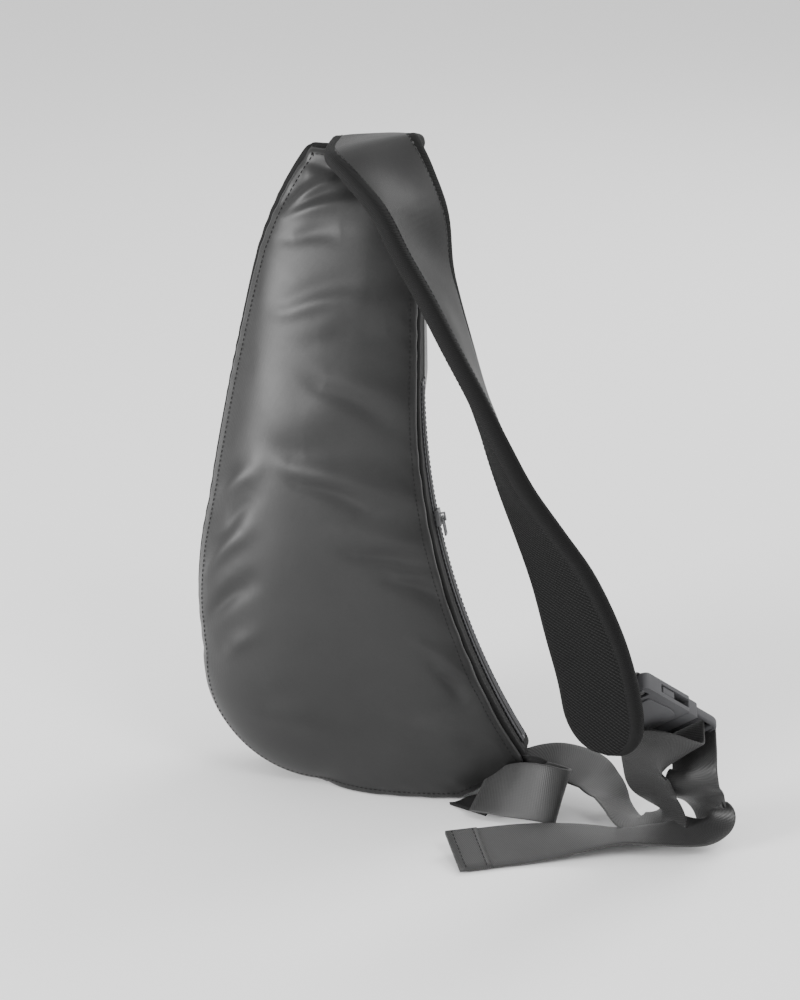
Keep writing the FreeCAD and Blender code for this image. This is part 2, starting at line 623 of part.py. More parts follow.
SHOULDER_LENGTH, FIRST_SLOT, GUIDE_LENGTH, GUIDE_HALF = 9, 5, 20, 2
SOCKET_CORNER = 4


def buckle_plug():
    """Plug shoulder, centre guide and a ladder lock: two rails and three bars."""
    shoulder = "(Sizes.socket_length + Sizes.mouth_gap)"
    rails = "(%s + %s)" % (shoulder, SHOULDER_LENGTH)
    end = "(%s + Sizes.plug_length)" % shoulder
    first_bar = "(%s + %s)" % (rails, FIRST_SLOT)
    thin = "Sizes.lock_thick / 2"
    wide = "(%s - 1)" % HALF_WIDE
    base = block("plug_base", (shoulder, "-" + wide, "-(%s - 0.5)" % HALF_THICK),
                 (rails, wide, HALF_THICK + " - 0.5"))
    guide = block("plug_guide", ("%s - %s" % (shoulder, GUIDE_LENGTH), -GUIDE_HALF, -GUIDE_HALF),
                  (shoulder, GUIDE_HALF, GUIDE_HALF))
    pieces = [base, guide]
    for sign in (-1, 1):
        middle = "(%s - Sizes.rail_width / 2) * %d" % (wide, sign)
        pieces.append(block("plug_rail%d" % sign, (rails, middle + " - Sizes.rail_width / 2", "-" + thin),
                            (end, middle + " + Sizes.rail_width / 2", thin)))
    bars = (first_bar, end + " - 2.2 * Sizes.lock_bar", end + " - Sizes.lock_bar / 2")
    for number, start in enumerate(bars):
        length = "Sizes.lock_bar" if number < 2 else "Sizes.lock_bar / 2"
        pieces.append(block("plug_bar%d" % number, (start, "-" + wide, "-%s * 0.7" % thin),
                            ("%s + %s" % (start, length), wide, thin + " * 0.7")))
    plug = fused("plug_fuse", *pieces)
    doc.recompute()
    plug.Placement = BUCKLE_FRAME
    return node(plug, "buckle_plug")


def latch_prong(side, sign):
    """Sprung arm with a barb that shows at the socket's open side."""
    high = "Sizes.prong_height / 2"
    inner = "(Sizes.prong_spread / 2 - Sizes.prong_width / 2)"
    outer = "(Sizes.prong_spread / 2 + Sizes.prong_width / 2)"
    spans = [(PRONG_TIP, PRONG_AXIS, inner, outer),
             (PRONG_TIP, PRONG_TIP + " + Sizes.barb_length", inner, "Sizes.barb_reach")]
    boxes = []
    for number, (start, end, near, far) in enumerate(spans):
        low, top = (near, far) if sign > 0 else ("-" + far, "-" + near)
        boxes.append(block("prong_%s%d" % (side, number), (start, low, "-" + high), (end, top, high)))
    root = doc.addObject("Part::Cylinder", "prong_%s_root" % side)
    bind(root, Radius="Sizes.prong_width / 2", Height="Sizes.prong_height")
    for axis, formula in (("x", PRONG_AXIS), ("y", "%d * Sizes.prong_spread / 2" % sign), ("z", "-" + high)):
        root.setExpression("Placement.Base.%s" % axis, formula)
    prong = fused("prong_%s_fuse" % side, *boxes, root)
    doc.recompute()
    prong.Placement = BUCKLE_FRAME
    return node(prong, "plug_prong_" + side)


buckle_socket()
buckle_plug()
latch_prong("left", 1)
latch_prong("right", -1)
PRONG_PIVOT = evaluated(PRONG_AXIS)


# ---- webbing sewn to the strap's end, down to the socket's bar --------------------------------

WEB_THICK, WEB_WIDE = size_of("webbing_thick"), size_of("webbing_width")


def end_webbing():
    """A flat strip from the strap's outer face to the socket's bar."""
    sewn = [STRAP_SECTIONS[-5], STRAP_SECTIONS[-4]]
    lift = HALF_PAD + WEB_THICK / 2
    places = [(middle + face * lift, width, face) for middle, width, face, _ in sewn]
    places[1] = ((places[0][0] * 0.35 + places[1][0] * 0.65), places[1][1], places[1][2])
    middle = (places[1][0] + BUCKLE_ORIGIN) * 0.5
    face = (places[1][2] + BUCKLE_OUT).normalize()
    width = (places[1][1] + BUCKLE_ACROSS).normalize()
    places.append((middle, width, face))
    places.append((BUCKLE_ORIGIN, BUCKLE_FRAME.Rotation.multVec(Vector(0, 1, 0)), BUCKLE_OUT))
    wires = []
    for spot, wide, out in places:
        a, b = wide * (WEB_WIDE / 2), out * (WEB_THICK / 2)
        wires.append(Part.makePolygon([spot - a - b, spot + a - b, spot + a + b, spot - a + b, spot - a - b]))
    return Part.makeLoft(wires, True, True)


strap_feature("strap_end_webbing", end_webbing())


# ---- loose webbing -----------------------------------------------------------------------------

# The webbing's line, as hand-laid points: from the corner tab to the ladder lock, and from the
# lock to the loose end. Its solid is a round cord of the same section area, so its weight is right.
CORD_DIAMETER = math.sqrt(4 * WEB_WIDE * WEB_THICK / math.pi)
LEG_REACH = 9
RUN_TO_LOCK = [(68, -50, 14), (86, -62, 20), (104, -71, 23), (121, -71, 22), (122, -52, 19), (108, -43, 17),
               (99, -28, 16), (114, -15, 18), (134, -22, 24), (151, -35, 23), (163, -51, 15), (175, -65, 9),
               (190, -70, 12), (194, -74, 26), (187, -82, 40), (184, -90, 55), (192, -97, 65)]
RUN_TO_TAIL = [(209, -91, 49), (206, -82, 38), (210, -70, 28), (220, -58, 20), (230, -57, 11),
               (230, -71, 7), (216, -79, 6), (197, -84, 7), (175, -89, 10), (151, -90, 9),
               (131, -95, 7.5), (114, -103, 6.5), (97, -113, 7), (80, -122.5, 7.6)]


def lock_point(along, depth):
    """A point of the buckle's own frame, in the bag's frame."""
    return BUCKLE_FRAME.multVec(Vector(along, 0, depth))


PLUG_END = size_of("socket_length") + size_of("mouth_gap") + size_of("plug_length")
LEG_IN = PLUG_END - 2.2 * size_of("lock_bar") - 6.5
LEG_OUT = PLUG_END - size_of("lock_bar") / 2 - 1.4
FOOT = -LEG_REACH - size_of("running_clear")
RUN = [Vector(*p) for p in RUN_TO_LOCK] + [lock_point(LEG_IN, FOOT - 11), lock_point(LEG_IN, FOOT)]
TAIL = [lock_point(LEG_OUT, FOOT), lock_point(LEG_OUT, FOOT - 11)] + [Vector(*p) for p in RUN_TO_TAIL]


def corded(points, diameter, name):
    """A round cord along straight runs joined by tangent arcs."""
    edges, here, radii = [], points[0], []
    for before, corner, after in zip(points, points[1:], points[2:]):
        back, ahead = (before - corner), (after - corner)
        reach = 0.45 * min(back.Length, ahead.Length)
        back.normalize()
        ahead.normalize()
        turn = math.pi - back.getAngle(ahead)
        radius = reach / math.tan(turn / 2)
        radii.append(radius)
        start, end = corner + back * reach, corner + ahead * reach
        bisector = (back + ahead).normalize()
        middle = corner + bisector * (radius / math.cos(turn / 2) - radius)
        edges.append(Part.LineSegment(here, start).toShape())
        edges.append(Part.Arc(start, middle, end).toShape())
        here = end
    edges.append(Part.LineSegment(here, points[-1]).toShape())
    path = Part.Wire(edges)
    section = Part.Wire(Part.makeCircle(diameter / 2, points[0], points[1] - points[0]))
    solid = path.makePipeShell([section], True, False, 2)
    wanted = math.pi * diameter ** 2 / 4 * path.Length
    print("%s: length %.0f, least radius %.1f, volume %.3f of its section times its length"
          % (name, path.Length, min(radii), abs(solid.Volume) / wanted))
    return solid


strap_feature("webbing_run", corded(RUN, CORD_DIAMETER, "webbing_run"))
strap_feature("webbing_tail", corded(TAIL, CORD_DIAMETER, "webbing_tail"))


def webbing_wrap():
    """The webbing's turn over the lock's middle bar, with a leg down through each slot."""
    crown = size_of("lock_thick") / 2 + 1
    half = WEB_WIDE / 2
    long = LEG_OUT - LEG_IN + WEB_THICK
    top = Part.makeBox(long, WEB_WIDE, WEB_THICK, Vector(LEG_IN - WEB_THICK / 2, -half, crown))
    tall = crown + LEG_REACH
    legs = [Part.makeBox(WEB_THICK, WEB_WIDE, tall, Vector(spot - WEB_THICK / 2, -half, -LEG_REACH))
            for spot in (LEG_IN, LEG_OUT)]
    shape = top.fuse(legs).removeSplitter()
    feature = strap_feature("webbing_wrap", shape)
    feature.Placement = BUCKLE_FRAME


webbing_wrap()


def flat_piece(name, length, width, thick, origin, along, outward):
    """A sewn block: along its X from the origin, centred across, standing on the origin's plane."""
    piece = doc.addObject("Part::Box", name + "_box")
    bind(piece, Length=length, Width=width, Height=thick)
    doc.recompute()
    shift = Placement(Vector(0, -piece.Width.Value / 2, -piece.Height.Value / 2), Rotation())
    piece.Placement = frame_from(origin, along, outward).multiply(shift)
    return node(piece, name)


TAB_ACROSS, HEM_ACROSS = Vector(0.44, 0.85, 0.29), Vector(-0.37, 0.88, 0.27)
tail_along = (TAIL[-1] - TAIL[-2]).normalize()
flat_piece("tail_hem", "Sizes.hem_length", "Sizes.webbing_width", "2 * Sizes.webbing_thick",
           TAIL[-1], tail_along, tail_along.cross(HEM_ACROSS).normalize())
run_along = (RUN[1] - RUN[0]).normalize()
flat_piece("corner_tab", "Sizes.tab_length", "Sizes.webbing_width + 4", "Sizes.tab_thick",
           RUN[0] - run_along * size_of("tab_length"), run_along, run_along.cross(TAB_ACROSS).normalize())


# ---- check and export --------------------------------------------------------------------------

doc.recompute()
failed = [thing.Label for thing in doc.Objects if set(thing.State) & {"Invalid", "Error"}]
failed += [thing.Label for thing in nodes if thing.Shape.isNull() or not thing.Shape.isValid()]
if failed:
    raise RuntimeError("failed: " + ", ".join(failed))

os.makedirs("parts", exist_ok=True)
for thing in nodes:
    thing.Shape.exportStep("parts/%s.step" % thing.Label)
print("%d nodes; zip travel %.1f and %.1f mm; prongs turn %.1f mm along the buckle"
      % (len(nodes), LOWER_TRAVEL, UPPER_TRAVEL, PRONG_PIVOT))
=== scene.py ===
"""A one-strap sling bag in black nylon, standing on its base with its loose webbing on the floor.

Every length inside the classes is in millimetres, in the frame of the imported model; meshes are
written in metres.
"""

import json
import logging
import math
from dataclasses import dataclass, field
from enum import Enum
from typing import Callable, Iterable, Optional, Sequence

import bmesh
import bpy
import numpy as np
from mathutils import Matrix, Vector

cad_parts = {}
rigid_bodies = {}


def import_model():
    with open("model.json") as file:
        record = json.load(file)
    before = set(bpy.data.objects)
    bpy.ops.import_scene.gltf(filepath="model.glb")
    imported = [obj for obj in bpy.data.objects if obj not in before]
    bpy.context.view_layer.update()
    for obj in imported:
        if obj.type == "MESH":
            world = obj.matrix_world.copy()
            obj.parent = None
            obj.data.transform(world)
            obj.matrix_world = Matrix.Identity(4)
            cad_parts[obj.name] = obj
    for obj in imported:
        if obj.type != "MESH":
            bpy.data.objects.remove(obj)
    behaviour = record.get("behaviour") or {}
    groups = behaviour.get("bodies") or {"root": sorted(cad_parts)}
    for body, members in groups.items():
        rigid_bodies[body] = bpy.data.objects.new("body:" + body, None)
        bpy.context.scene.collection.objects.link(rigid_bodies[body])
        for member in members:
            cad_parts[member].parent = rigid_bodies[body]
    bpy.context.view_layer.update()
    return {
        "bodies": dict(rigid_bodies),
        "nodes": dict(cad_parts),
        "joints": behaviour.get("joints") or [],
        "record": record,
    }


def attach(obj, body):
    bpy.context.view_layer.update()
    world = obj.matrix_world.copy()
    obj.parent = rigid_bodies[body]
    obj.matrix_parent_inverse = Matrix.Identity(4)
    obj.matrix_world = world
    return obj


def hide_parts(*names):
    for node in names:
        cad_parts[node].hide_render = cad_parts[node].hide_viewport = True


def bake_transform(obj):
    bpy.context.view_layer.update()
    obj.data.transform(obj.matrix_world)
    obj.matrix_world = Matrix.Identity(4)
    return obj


LOG = logging.getLogger("sling_bag")
MM = 0.001
Point = Sequence[float]
Points = np.ndarray
Faces = list[tuple[int, ...]]
Socket = bpy.types.NodeSocket


# ---- small geometry helpers ------------------------------------------------------------------


def unit(rows: Points) -> Points:
    """Scale each row to length one."""
    rows = np.asarray(rows, float)
    return rows / np.maximum(np.linalg.norm(rows, axis=-1, keepdims=True), 1e-9)


def travel(line: Points) -> Points:
    """How far along a polyline each of its points lies."""
    return np.r_[0, np.cumsum(np.linalg.norm(np.diff(line, axis=0), axis=1))]


def arc_through(first: Point, middle: Point, last: Point, steps: int) -> Points:
    """Lay points on the circle through three points.

    Args:
        first: Where the arc starts.
        middle: A point on the arc.
        last: Where the arc ends.
        steps: How many runs the arc is cut into.

    Returns:
        The arc's points, both ends included.
    """
    a, b, c = (complex(*p) for p in (first, middle, last))
    w = (c - a) / (b - a)
    centre = a + (b - a) * (w - abs(w) ** 2) / (2j * w.imag)
    start, mid, end = (np.angle(p - centre) for p in (a, b, c))
    full = 2 * math.pi
    turn = (end - start) % full
    if (mid - start) % full > turn:
        turn -= full
    angles = start + turn * np.linspace(0, 1, steps + 1)
    radius = abs(a - centre)
    return np.c_[centre.real + radius * np.cos(angles), centre.imag + radius * np.sin(angles)]


def evenly(line: Points, shares: Points) -> Points:
    """Read a polyline at shares of its own length."""
    along = travel(line)
    return np.stack([np.interp(shares * along[-1], along, column) for column in line.T], 1)


def through(points: Points, per_run: int) -> Points:
    """Lay a smooth line through every point.

    Args:
        points: The points, in order.
        per_run: Steps between neighbours.

    Returns:
        The line's points, the given ones among them.
    """
    p = np.vstack([2 * points[0] - points[1], points, 2 * points[-1] - points[-2]])
    t = np.linspace(0, 1, per_run, endpoint=False)[:, None]
    runs = []
    for a, b, c, d in zip(p, p[1:], p[2:], p[3:]):
        bend, twist = 2 * a - 5 * b + 4 * c - d, 3 * b - a - 3 * c + d
        runs.append(0.5 * (2 * b + (c - a) * t + bend * t**2 + twist * t**3))
    return np.vstack([*runs, points[-1:]])


def distance_to(points: Points, line: Points) -> Points:
    """Measure how far points lie from a polyline.

    Args:
        points: The points, as rows.
        line: The polyline's points, as rows.

    Returns:
        Each point's distance.
    """
    best = np.full(len(points), np.inf)
    for a, b in zip(line, line[1:]):
        run = b - a
        share = np.clip(((points - a) @ run) / max(run @ run, 1e-12), 0, 1)
        best = np.minimum(best, np.linalg.norm(points - (a + share[:, None] * run), axis=1))
    return best


def grid_faces(rows: int, columns: int, ring: bool = False) -> Faces:
    """Join a grid of vertices, laid row by row, with quads.

    Args:
        rows: Vertices one way.
        columns: Vertices the other way.
        ring: Whether the last column meets the first.

    Returns:
        The quads.
    """
    faces = []
    for row in range(rows - 1):
        low, high = row * columns, (row + 1) * columns
        for column in range(columns if ring else columns - 1):
            after = (column + 1) % columns
            faces.append((low + column, low + after, high + after, high + column))
    return faces


def tube_faces(rows: int, around: int) -> Faces:
    """Join closed sections, laid one after another, and cap both ends.

    Args:
        rows: How many sections there are.
        around: How many vertices each has.

    Returns:
        The faces.
    """
    caps = [tuple(start + k for k in range(around)) for start in (0, (rows - 1) * around)]
    return [*grid_faces(rows, around, ring=True), *caps]


def cloth_spots(along: Points, across: Points) -> Points:
    """Where each vertex of a grid lies in the cloth, from its row's and its column's distance."""
    return np.stack(np.broadcast_arrays(along[:, None], across[None]), -1).reshape(-1, 2)


def into_scene(name: str, data: Optional[bpy.types.ID]) -> bpy.types.Object:
    """Put a mesh, curve, light or camera into the scene as an object.

    Args:
        name: The object's name.
        data: What it holds.

    Returns:
        The object.
    """
    made = bpy.data.objects.new(name, data)
    bpy.context.scene.collection.objects.link(made)
    return made


def smooth_line(name: str, controls: Points, per_run: int = 10) -> Points:
    """Read the points of a NURBS spline whose control points are given.

    Args:
        name: Name for the short-lived curve.
        controls: Control points, in millimetres.
        per_run: Steps between control points.

    Returns:
        Points along the spline, in millimetres.
    """
    curve = bpy.data.curves.new(name, "CURVE")
    curve.dimensions = "3D"
    spline = curve.splines.new("NURBS")
    spline.points.add(len(controls) - 1)
    for point, (x, y, z) in zip(spline.points, controls):
        point.co = (x * MM, y * MM, z * MM, 1)
    spline.order_u = 3
    spline.use_endpoint_u = True
    spline.resolution_u = per_run
    carrier = into_scene(name, curve)
    mesh = evaluated_mesh(carrier)
    points = np.array([v.co for v in mesh.vertices]) / MM
    bpy.data.objects.remove(carrier)
    bpy.data.meshes.remove(mesh)
    return points


def evaluated_mesh(piece: bpy.types.Object) -> bpy.types.Mesh:
    """Read a piece, with its modifiers, as a new plain mesh."""
    bpy.context.view_layer.update()
    return bpy.data.meshes.new_from_object(piece.evaluated_get(bpy.context.evaluated_depsgraph_get()))


def add_node(
    tree: bpy.types.NodeTree, kind: str, sockets: Optional[dict] = None, **settings: object
) -> bpy.types.Node:
    """Add a node to a tree.

    Args:
        tree: The tree.
        kind: The node's type.
        sockets: Its inputs by name or number, each with a value or with an output to link.
        **settings: Its own settings, made before its inputs are reached.

    Returns:
        The node.
    """
    node = tree.nodes.new(kind)
    for key, value in settings.items():
        setattr(node, key, value)
    for key, value in (sockets or {}).items():
        if isinstance(value, Socket):
            tree.links.new(value, node.inputs[key])
        else:
            node.inputs[key].default_value = value
    return node


# ---- finishes ----------------------------------------------------------------------------------


class Weave(Enum):
    """How a surface is made up close."""

    TAFFETA = "taffeta"
    GROSGRAIN = "grosgrain"
    TWILL = "twill"
    SPACER = "spacer mesh"
    MOULDED = "moulded"
    CAST = "cast"


@dataclass(frozen=True)
class Finish:
    """A surface: its slot in the record, its two tones, and the relief of its weave or grain.

    The pitch is in millimetres. A finish that follows its piece reads the piece's own cloth map.
    """

    name: str
    slot: str
    weave: Weave
    dark: float
    light: float
    rough: float
    pitch: float
    relief: float
    sheen: float = 0.0
    metal: float = 0.0
    follows: bool = False
    gloss: float = 0.35

    def material(self) -> bpy.types.Material:
        """Give the finish's material, building it the first time.

        Returns:
            The material.
        """
        known = bpy.data.materials.get(self.name)
        if known:
            return known
        made = bpy.data.materials.new(self.name)
        made.use_nodes = True
        tree = made.node_tree
        source = add_node(tree, "ShaderNodeTexCoord").outputs["Object"]
        if self.follows:
            source = add_node(tree, "ShaderNodeUVMap", uv_map="cloth").outputs["UV"]
        height = self.height(tree, source)
        cloud_sizes = {"Vector": source, "Scale": 38.0, "Detail": 6.0, "Roughness": 0.62}
        cloud = add_node(tree, "ShaderNodeTexNoise", cloud_sizes).outputs["Fac"]
        soft = self.normal(tree, height, cloud)
        spread = {"Value": cloud, "To Min": self.rough - 0.07, "To Max": self.rough + 0.07}
        rough = add_node(tree, "ShaderNodeMapRange", spread)
        shader = tree.nodes["Principled BSDF"]
        values = {"Metallic": self.metal, "Sheen Weight": self.sheen, "Sheen Roughness": 0.4}
        for label, value in {**values, "Specular IOR Level": self.gloss}.items():
            shader.inputs[label].default_value = value
        tree.links.new(self.colour(tree, source, height, cloud), shader.inputs["Base Color"])
        tree.links.new(rough.outputs["Result"], shader.inputs["Roughness"])
        tree.links.new(soft, shader.inputs["Normal"])
        return made

    @staticmethod
    def sums(tree: bpy.types.NodeTree, operation: str, *terms: object) -> Socket:
        """Add a math node and give its output."""
        return add_node(tree, "ShaderNodeMath", dict(enumerate(terms)), operation=operation).outputs[0]

    def height(self, tree: bpy.types.NodeTree, source: Socket) -> Socket:
        """Build the weave's or the grain's relief.

        Args:
            tree: The material's tree.
            source: Where the pattern lies.

        Returns:
            The relief, between 0 and 1.
        """

        def sums(operation: str, *terms: object) -> Socket:
            """Add a math node to this tree."""
            return self.sums(tree, operation, *terms)

        def ripple(along: Socket) -> Socket:
            """Give a wave between 0 and 1 along one coordinate."""
            turns = 2 * math.pi / (self.pitch * MM)
            return sums("MULTIPLY_ADD", sums("SINE", sums("MULTIPLY", along, turns)), 0.5, 0.5)

        x, y, z = add_node(tree, "ShaderNodeSeparateXYZ", {0: source}).outputs
        if not self.follows:
            x, y = sums("ADD", x, sums("MULTIPLY", y, 0.8)), z
        if self.weave is Weave.TAFFETA:
            return sums("MULTIPLY", ripple(x), ripple(y))
        if self.weave is Weave.GROSGRAIN:
            return ripple(x)
        if self.weave is Weave.TWILL:
            counter = sums("SUBTRACT", x, sums("MULTIPLY", y, 0.3))
            return sums("MULTIPLY", ripple(sums("ADD", x, y)), ripple(counter))
        if self.weave is Weave.SPACER:
            slanted = sums("MULTIPLY", y, 0.6)
            one, two = (ripple(sums(way, x, slanted)) for way in ("ADD", "SUBTRACT"))
            return sums("MULTIPLY", one, sums("MULTIPLY_ADD", two, 0.5, 0.5))
        grain = {"Vector": source, "Scale": 1 / (self.pitch * MM), "Detail": 4.0}
        return add_node(tree, "ShaderNodeTexNoise", grain).outputs["Fac"]

    def colour(self, tree: bpy.types.NodeTree, source: Socket, height: Socket, cloud: Socket) -> Socket:
        """Mix the finish's two tones by cloud, fleck and relief; the relief's share is painted shade, darker in the
        low places of the weave and most in the spacer mesh's holes.

        Args:
            tree: The material's tree.
            source: Where the pattern lies.
            height: The relief.
            cloud: A slow noise.

        Returns:
            The colour.
        """
        fleck_sizes = {"Vector": source, "Scale": 900.0, "Detail": 2.0}
        fleck = add_node(tree, "ShaderNodeTexNoise", fleck_sizes).outputs["Fac"]
        wear = self.sums(tree, "ADD", *(self.sums(tree, "MULTIPLY", *pair) for pair in ((cloud, 0.35), (fleck, 0.3))))
        # painted shade: the low places of the relief take the dark tone, most strongly in the spacer mesh's holes
        # (for moulded and cast finishes the relief is grain)
        share = 0.85 if self.weave is Weave.SPACER else 0.3
        parts = (self.sums(tree, "MULTIPLY", *pair) for pair in ((wear, 1 - share), (height, share)))
        mix = add_node(tree, "ShaderNodeMix", {"Factor": self.sums(tree, "ADD", *parts)}, data_type="RGBA")
        for label, tone in (("A", self.dark), ("B", self.light)):
            place = next(s for s in mix.inputs if s.name == label and s.type == "RGBA")
            place.default_value = (tone, tone, tone, 1)
        return next(s for s in mix.outputs if s.type == "RGBA")

    def normal(self, tree: bpy.types.NodeTree, height: Socket, cloud: Socket) -> Socket:
        """Raise the fine relief, and a slow unevenness under it.

        Args:
            tree: The material's tree.
            height: The fine relief.
            cloud: A slow noise.

        Returns:
            The normal.
        """
        fine = {"Height": height, "Strength": self.relief, "Distance": self.pitch * MM * 0.4}
        bump = add_node(tree, "ShaderNodeBump", fine).outputs["Normal"]
        slow = {"Height": cloud, "Strength": 0.25, "Distance": 0.6 * MM, "Normal": bump}
        return add_node(tree, "ShaderNodeBump", slow).outputs["Normal"]


SHELL_NYLON = Finish(
    "shell_nylon", "nylon", Weave.TAFFETA, dark=0.006, light=0.026, rough=0.44, pitch=0.7, relief=0.12,
    sheen=0.03,
)
# A darker copy of the shell's nylon: painted shade on the side wall and the corner cloth, which are the same cloth;
# it is also rougher and less glossy.
SHADED_WALL_NYLON = Finish(
    "shaded_wall_nylon", "nylon", Weave.TAFFETA, dark=0.005, light=0.016, rough=0.7, pitch=0.7, relief=0.12,
    gloss=0.1,
)
# A darker copy of the shell's nylon: painted shade on the strap's outer face, which is the same cloth.
SHADED_STRAP_NYLON = Finish(
    "shaded_strap_nylon", "nylon", Weave.TAFFETA, dark=0.006, light=0.019, rough=0.5, pitch=0.8, relief=0.25,
    sheen=0.02, gloss=0.25, follows=True,
)
SPACER_MESH = Finish(
    "spacer_mesh", "mesh", Weave.SPACER, dark=0.0004, light=0.016, rough=0.9, pitch=2.6, relief=1.0,
    gloss=0.15, follows=True,
)
EDGE_BINDING = Finish(
    "edge_binding", "binding", Weave.GROSGRAIN, dark=0.002, light=0.007, rough=0.78, pitch=1.1, relief=0.5,
    gloss=0.18, follows=True,
)
BELT_WEBBING = Finish(
    "belt_webbing", "webbing", Weave.TWILL, dark=0.012, light=0.05, rough=0.46, pitch=1.3, relief=0.35,
    sheen=0.06, follows=True,
)
ZIP_TAPE = Finish(
    "zip_tape", "zip_tape", Weave.GROSGRAIN, dark=0.003, light=0.008, rough=0.8, pitch=0.8, relief=0.4,
    gloss=0.05, follows=True,
)
ZIP_COIL = Finish(
    "zip_coil", "zip_coil", Weave.MOULDED, dark=0.008, light=0.02, rough=0.45, pitch=0.8, relief=0.05,
    gloss=0.25,
)
ZIP_METAL = Finish(
    "zip_metal", "zip_metal", Weave.CAST, dark=0.10, light=0.19, rough=0.32, pitch=1.5, relief=0.15, metal=1.0
)
BUCKLE_PLASTIC = Finish(
    "buckle_plastic", "buckle_plastic", Weave.MOULDED, dark=0.004, light=0.010, rough=0.4, pitch=0.7,
    relief=0.12, gloss=0.22,
)
THREAD = Finish(
    "thread", "binding", Weave.GROSGRAIN, dark=0.006, light=0.016, rough=0.7, pitch=0.6, relief=0.3,
    gloss=0.15,
)


# ---- pieces --------------------------------------------------------------------------------------


def piece_from(
    name: str, points: Points, faces: Iterable[Sequence[int]], finish: Finish, cloth: Optional[Points] = None
) -> bpy.types.Object:
    """Make a mesh object whose place is in its mesh.

    Args:
        name: The piece's name.
        points: Its vertices, in millimetres.
        faces: Its faces.
        finish: Its surface.
        cloth: Where each vertex lies in the cloth, along and across, in millimetres.

    Returns:
        The object, linked to the scene.
    """
    mesh = bpy.data.meshes.new(name)
    mesh.from_pydata((np.asarray(points) * MM).tolist(), [], [tuple(f) for f in faces])
    mesh.polygons.foreach_set("use_smooth", [True] * len(mesh.polygons))
    if cloth is not None:
        layer = mesh.uv_layers.new(name="cloth")
        corners = np.zeros(len(mesh.loops), int)
        mesh.loops.foreach_get("vertex_index", corners)
        layer.data.foreach_set("uv", (np.asarray(cloth)[corners] * MM).ravel())
    mesh.materials.append(finish.material())
    return into_scene(name, mesh)


def turned_out(piece: bpy.types.Object) -> bpy.types.Object:
    """Point the faces of a closed piece outward.

    Args:
        piece: The piece.

    Returns:
        The same piece.
    """
    work = bmesh.new()
    work.from_mesh(piece.data)
    bmesh.ops.recalc_face_normals(work, faces=work.faces)
    work.to_mesh(piece.data)
    work.free()
    return piece


def applied(piece: bpy.types.Object) -> bpy.types.Object:
    """Turn a piece's modifiers into plain mesh.

    Args:
        piece: The piece.

    Returns:
        The same piece.
    """
    done = evaluated_mesh(piece)
    piece.modifiers.clear()
    piece.data = done
    return piece


def thickened(piece: bpy.types.Object, thick: float, offset: float = -1) -> bpy.types.Object:
    """Give a sheet its thickness.

    Args:
        piece: The sheet.
        thick: Its thickness, in millimetres.
        offset: -1 to grow inward from the sheet, 0 to grow both ways.

    Returns:
        The same piece.
    """
    cloth = piece.modifiers.new("cloth", "SOLIDIFY")
    cloth.thickness, cloth.offset = thick * MM, offset
    return piece


def settle(piece: bpy.types.Object, finish: Finish, body: str, *nodes: str) -> bpy.types.Object:
    """Ride a finished piece on its body and the nodes it stands for.

    Args:
        piece: The piece.
        finish: Its surface; not used.
        body: The body it moves with.
        *nodes: The nodes it stands for, if any.

    Returns:
        The same piece.
    """
    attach(piece, body)
    if nodes:
        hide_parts(*nodes)
    LOG.info("%s: %d faces on %s", piece.name, len(piece.data.polygons), body)
    return piece


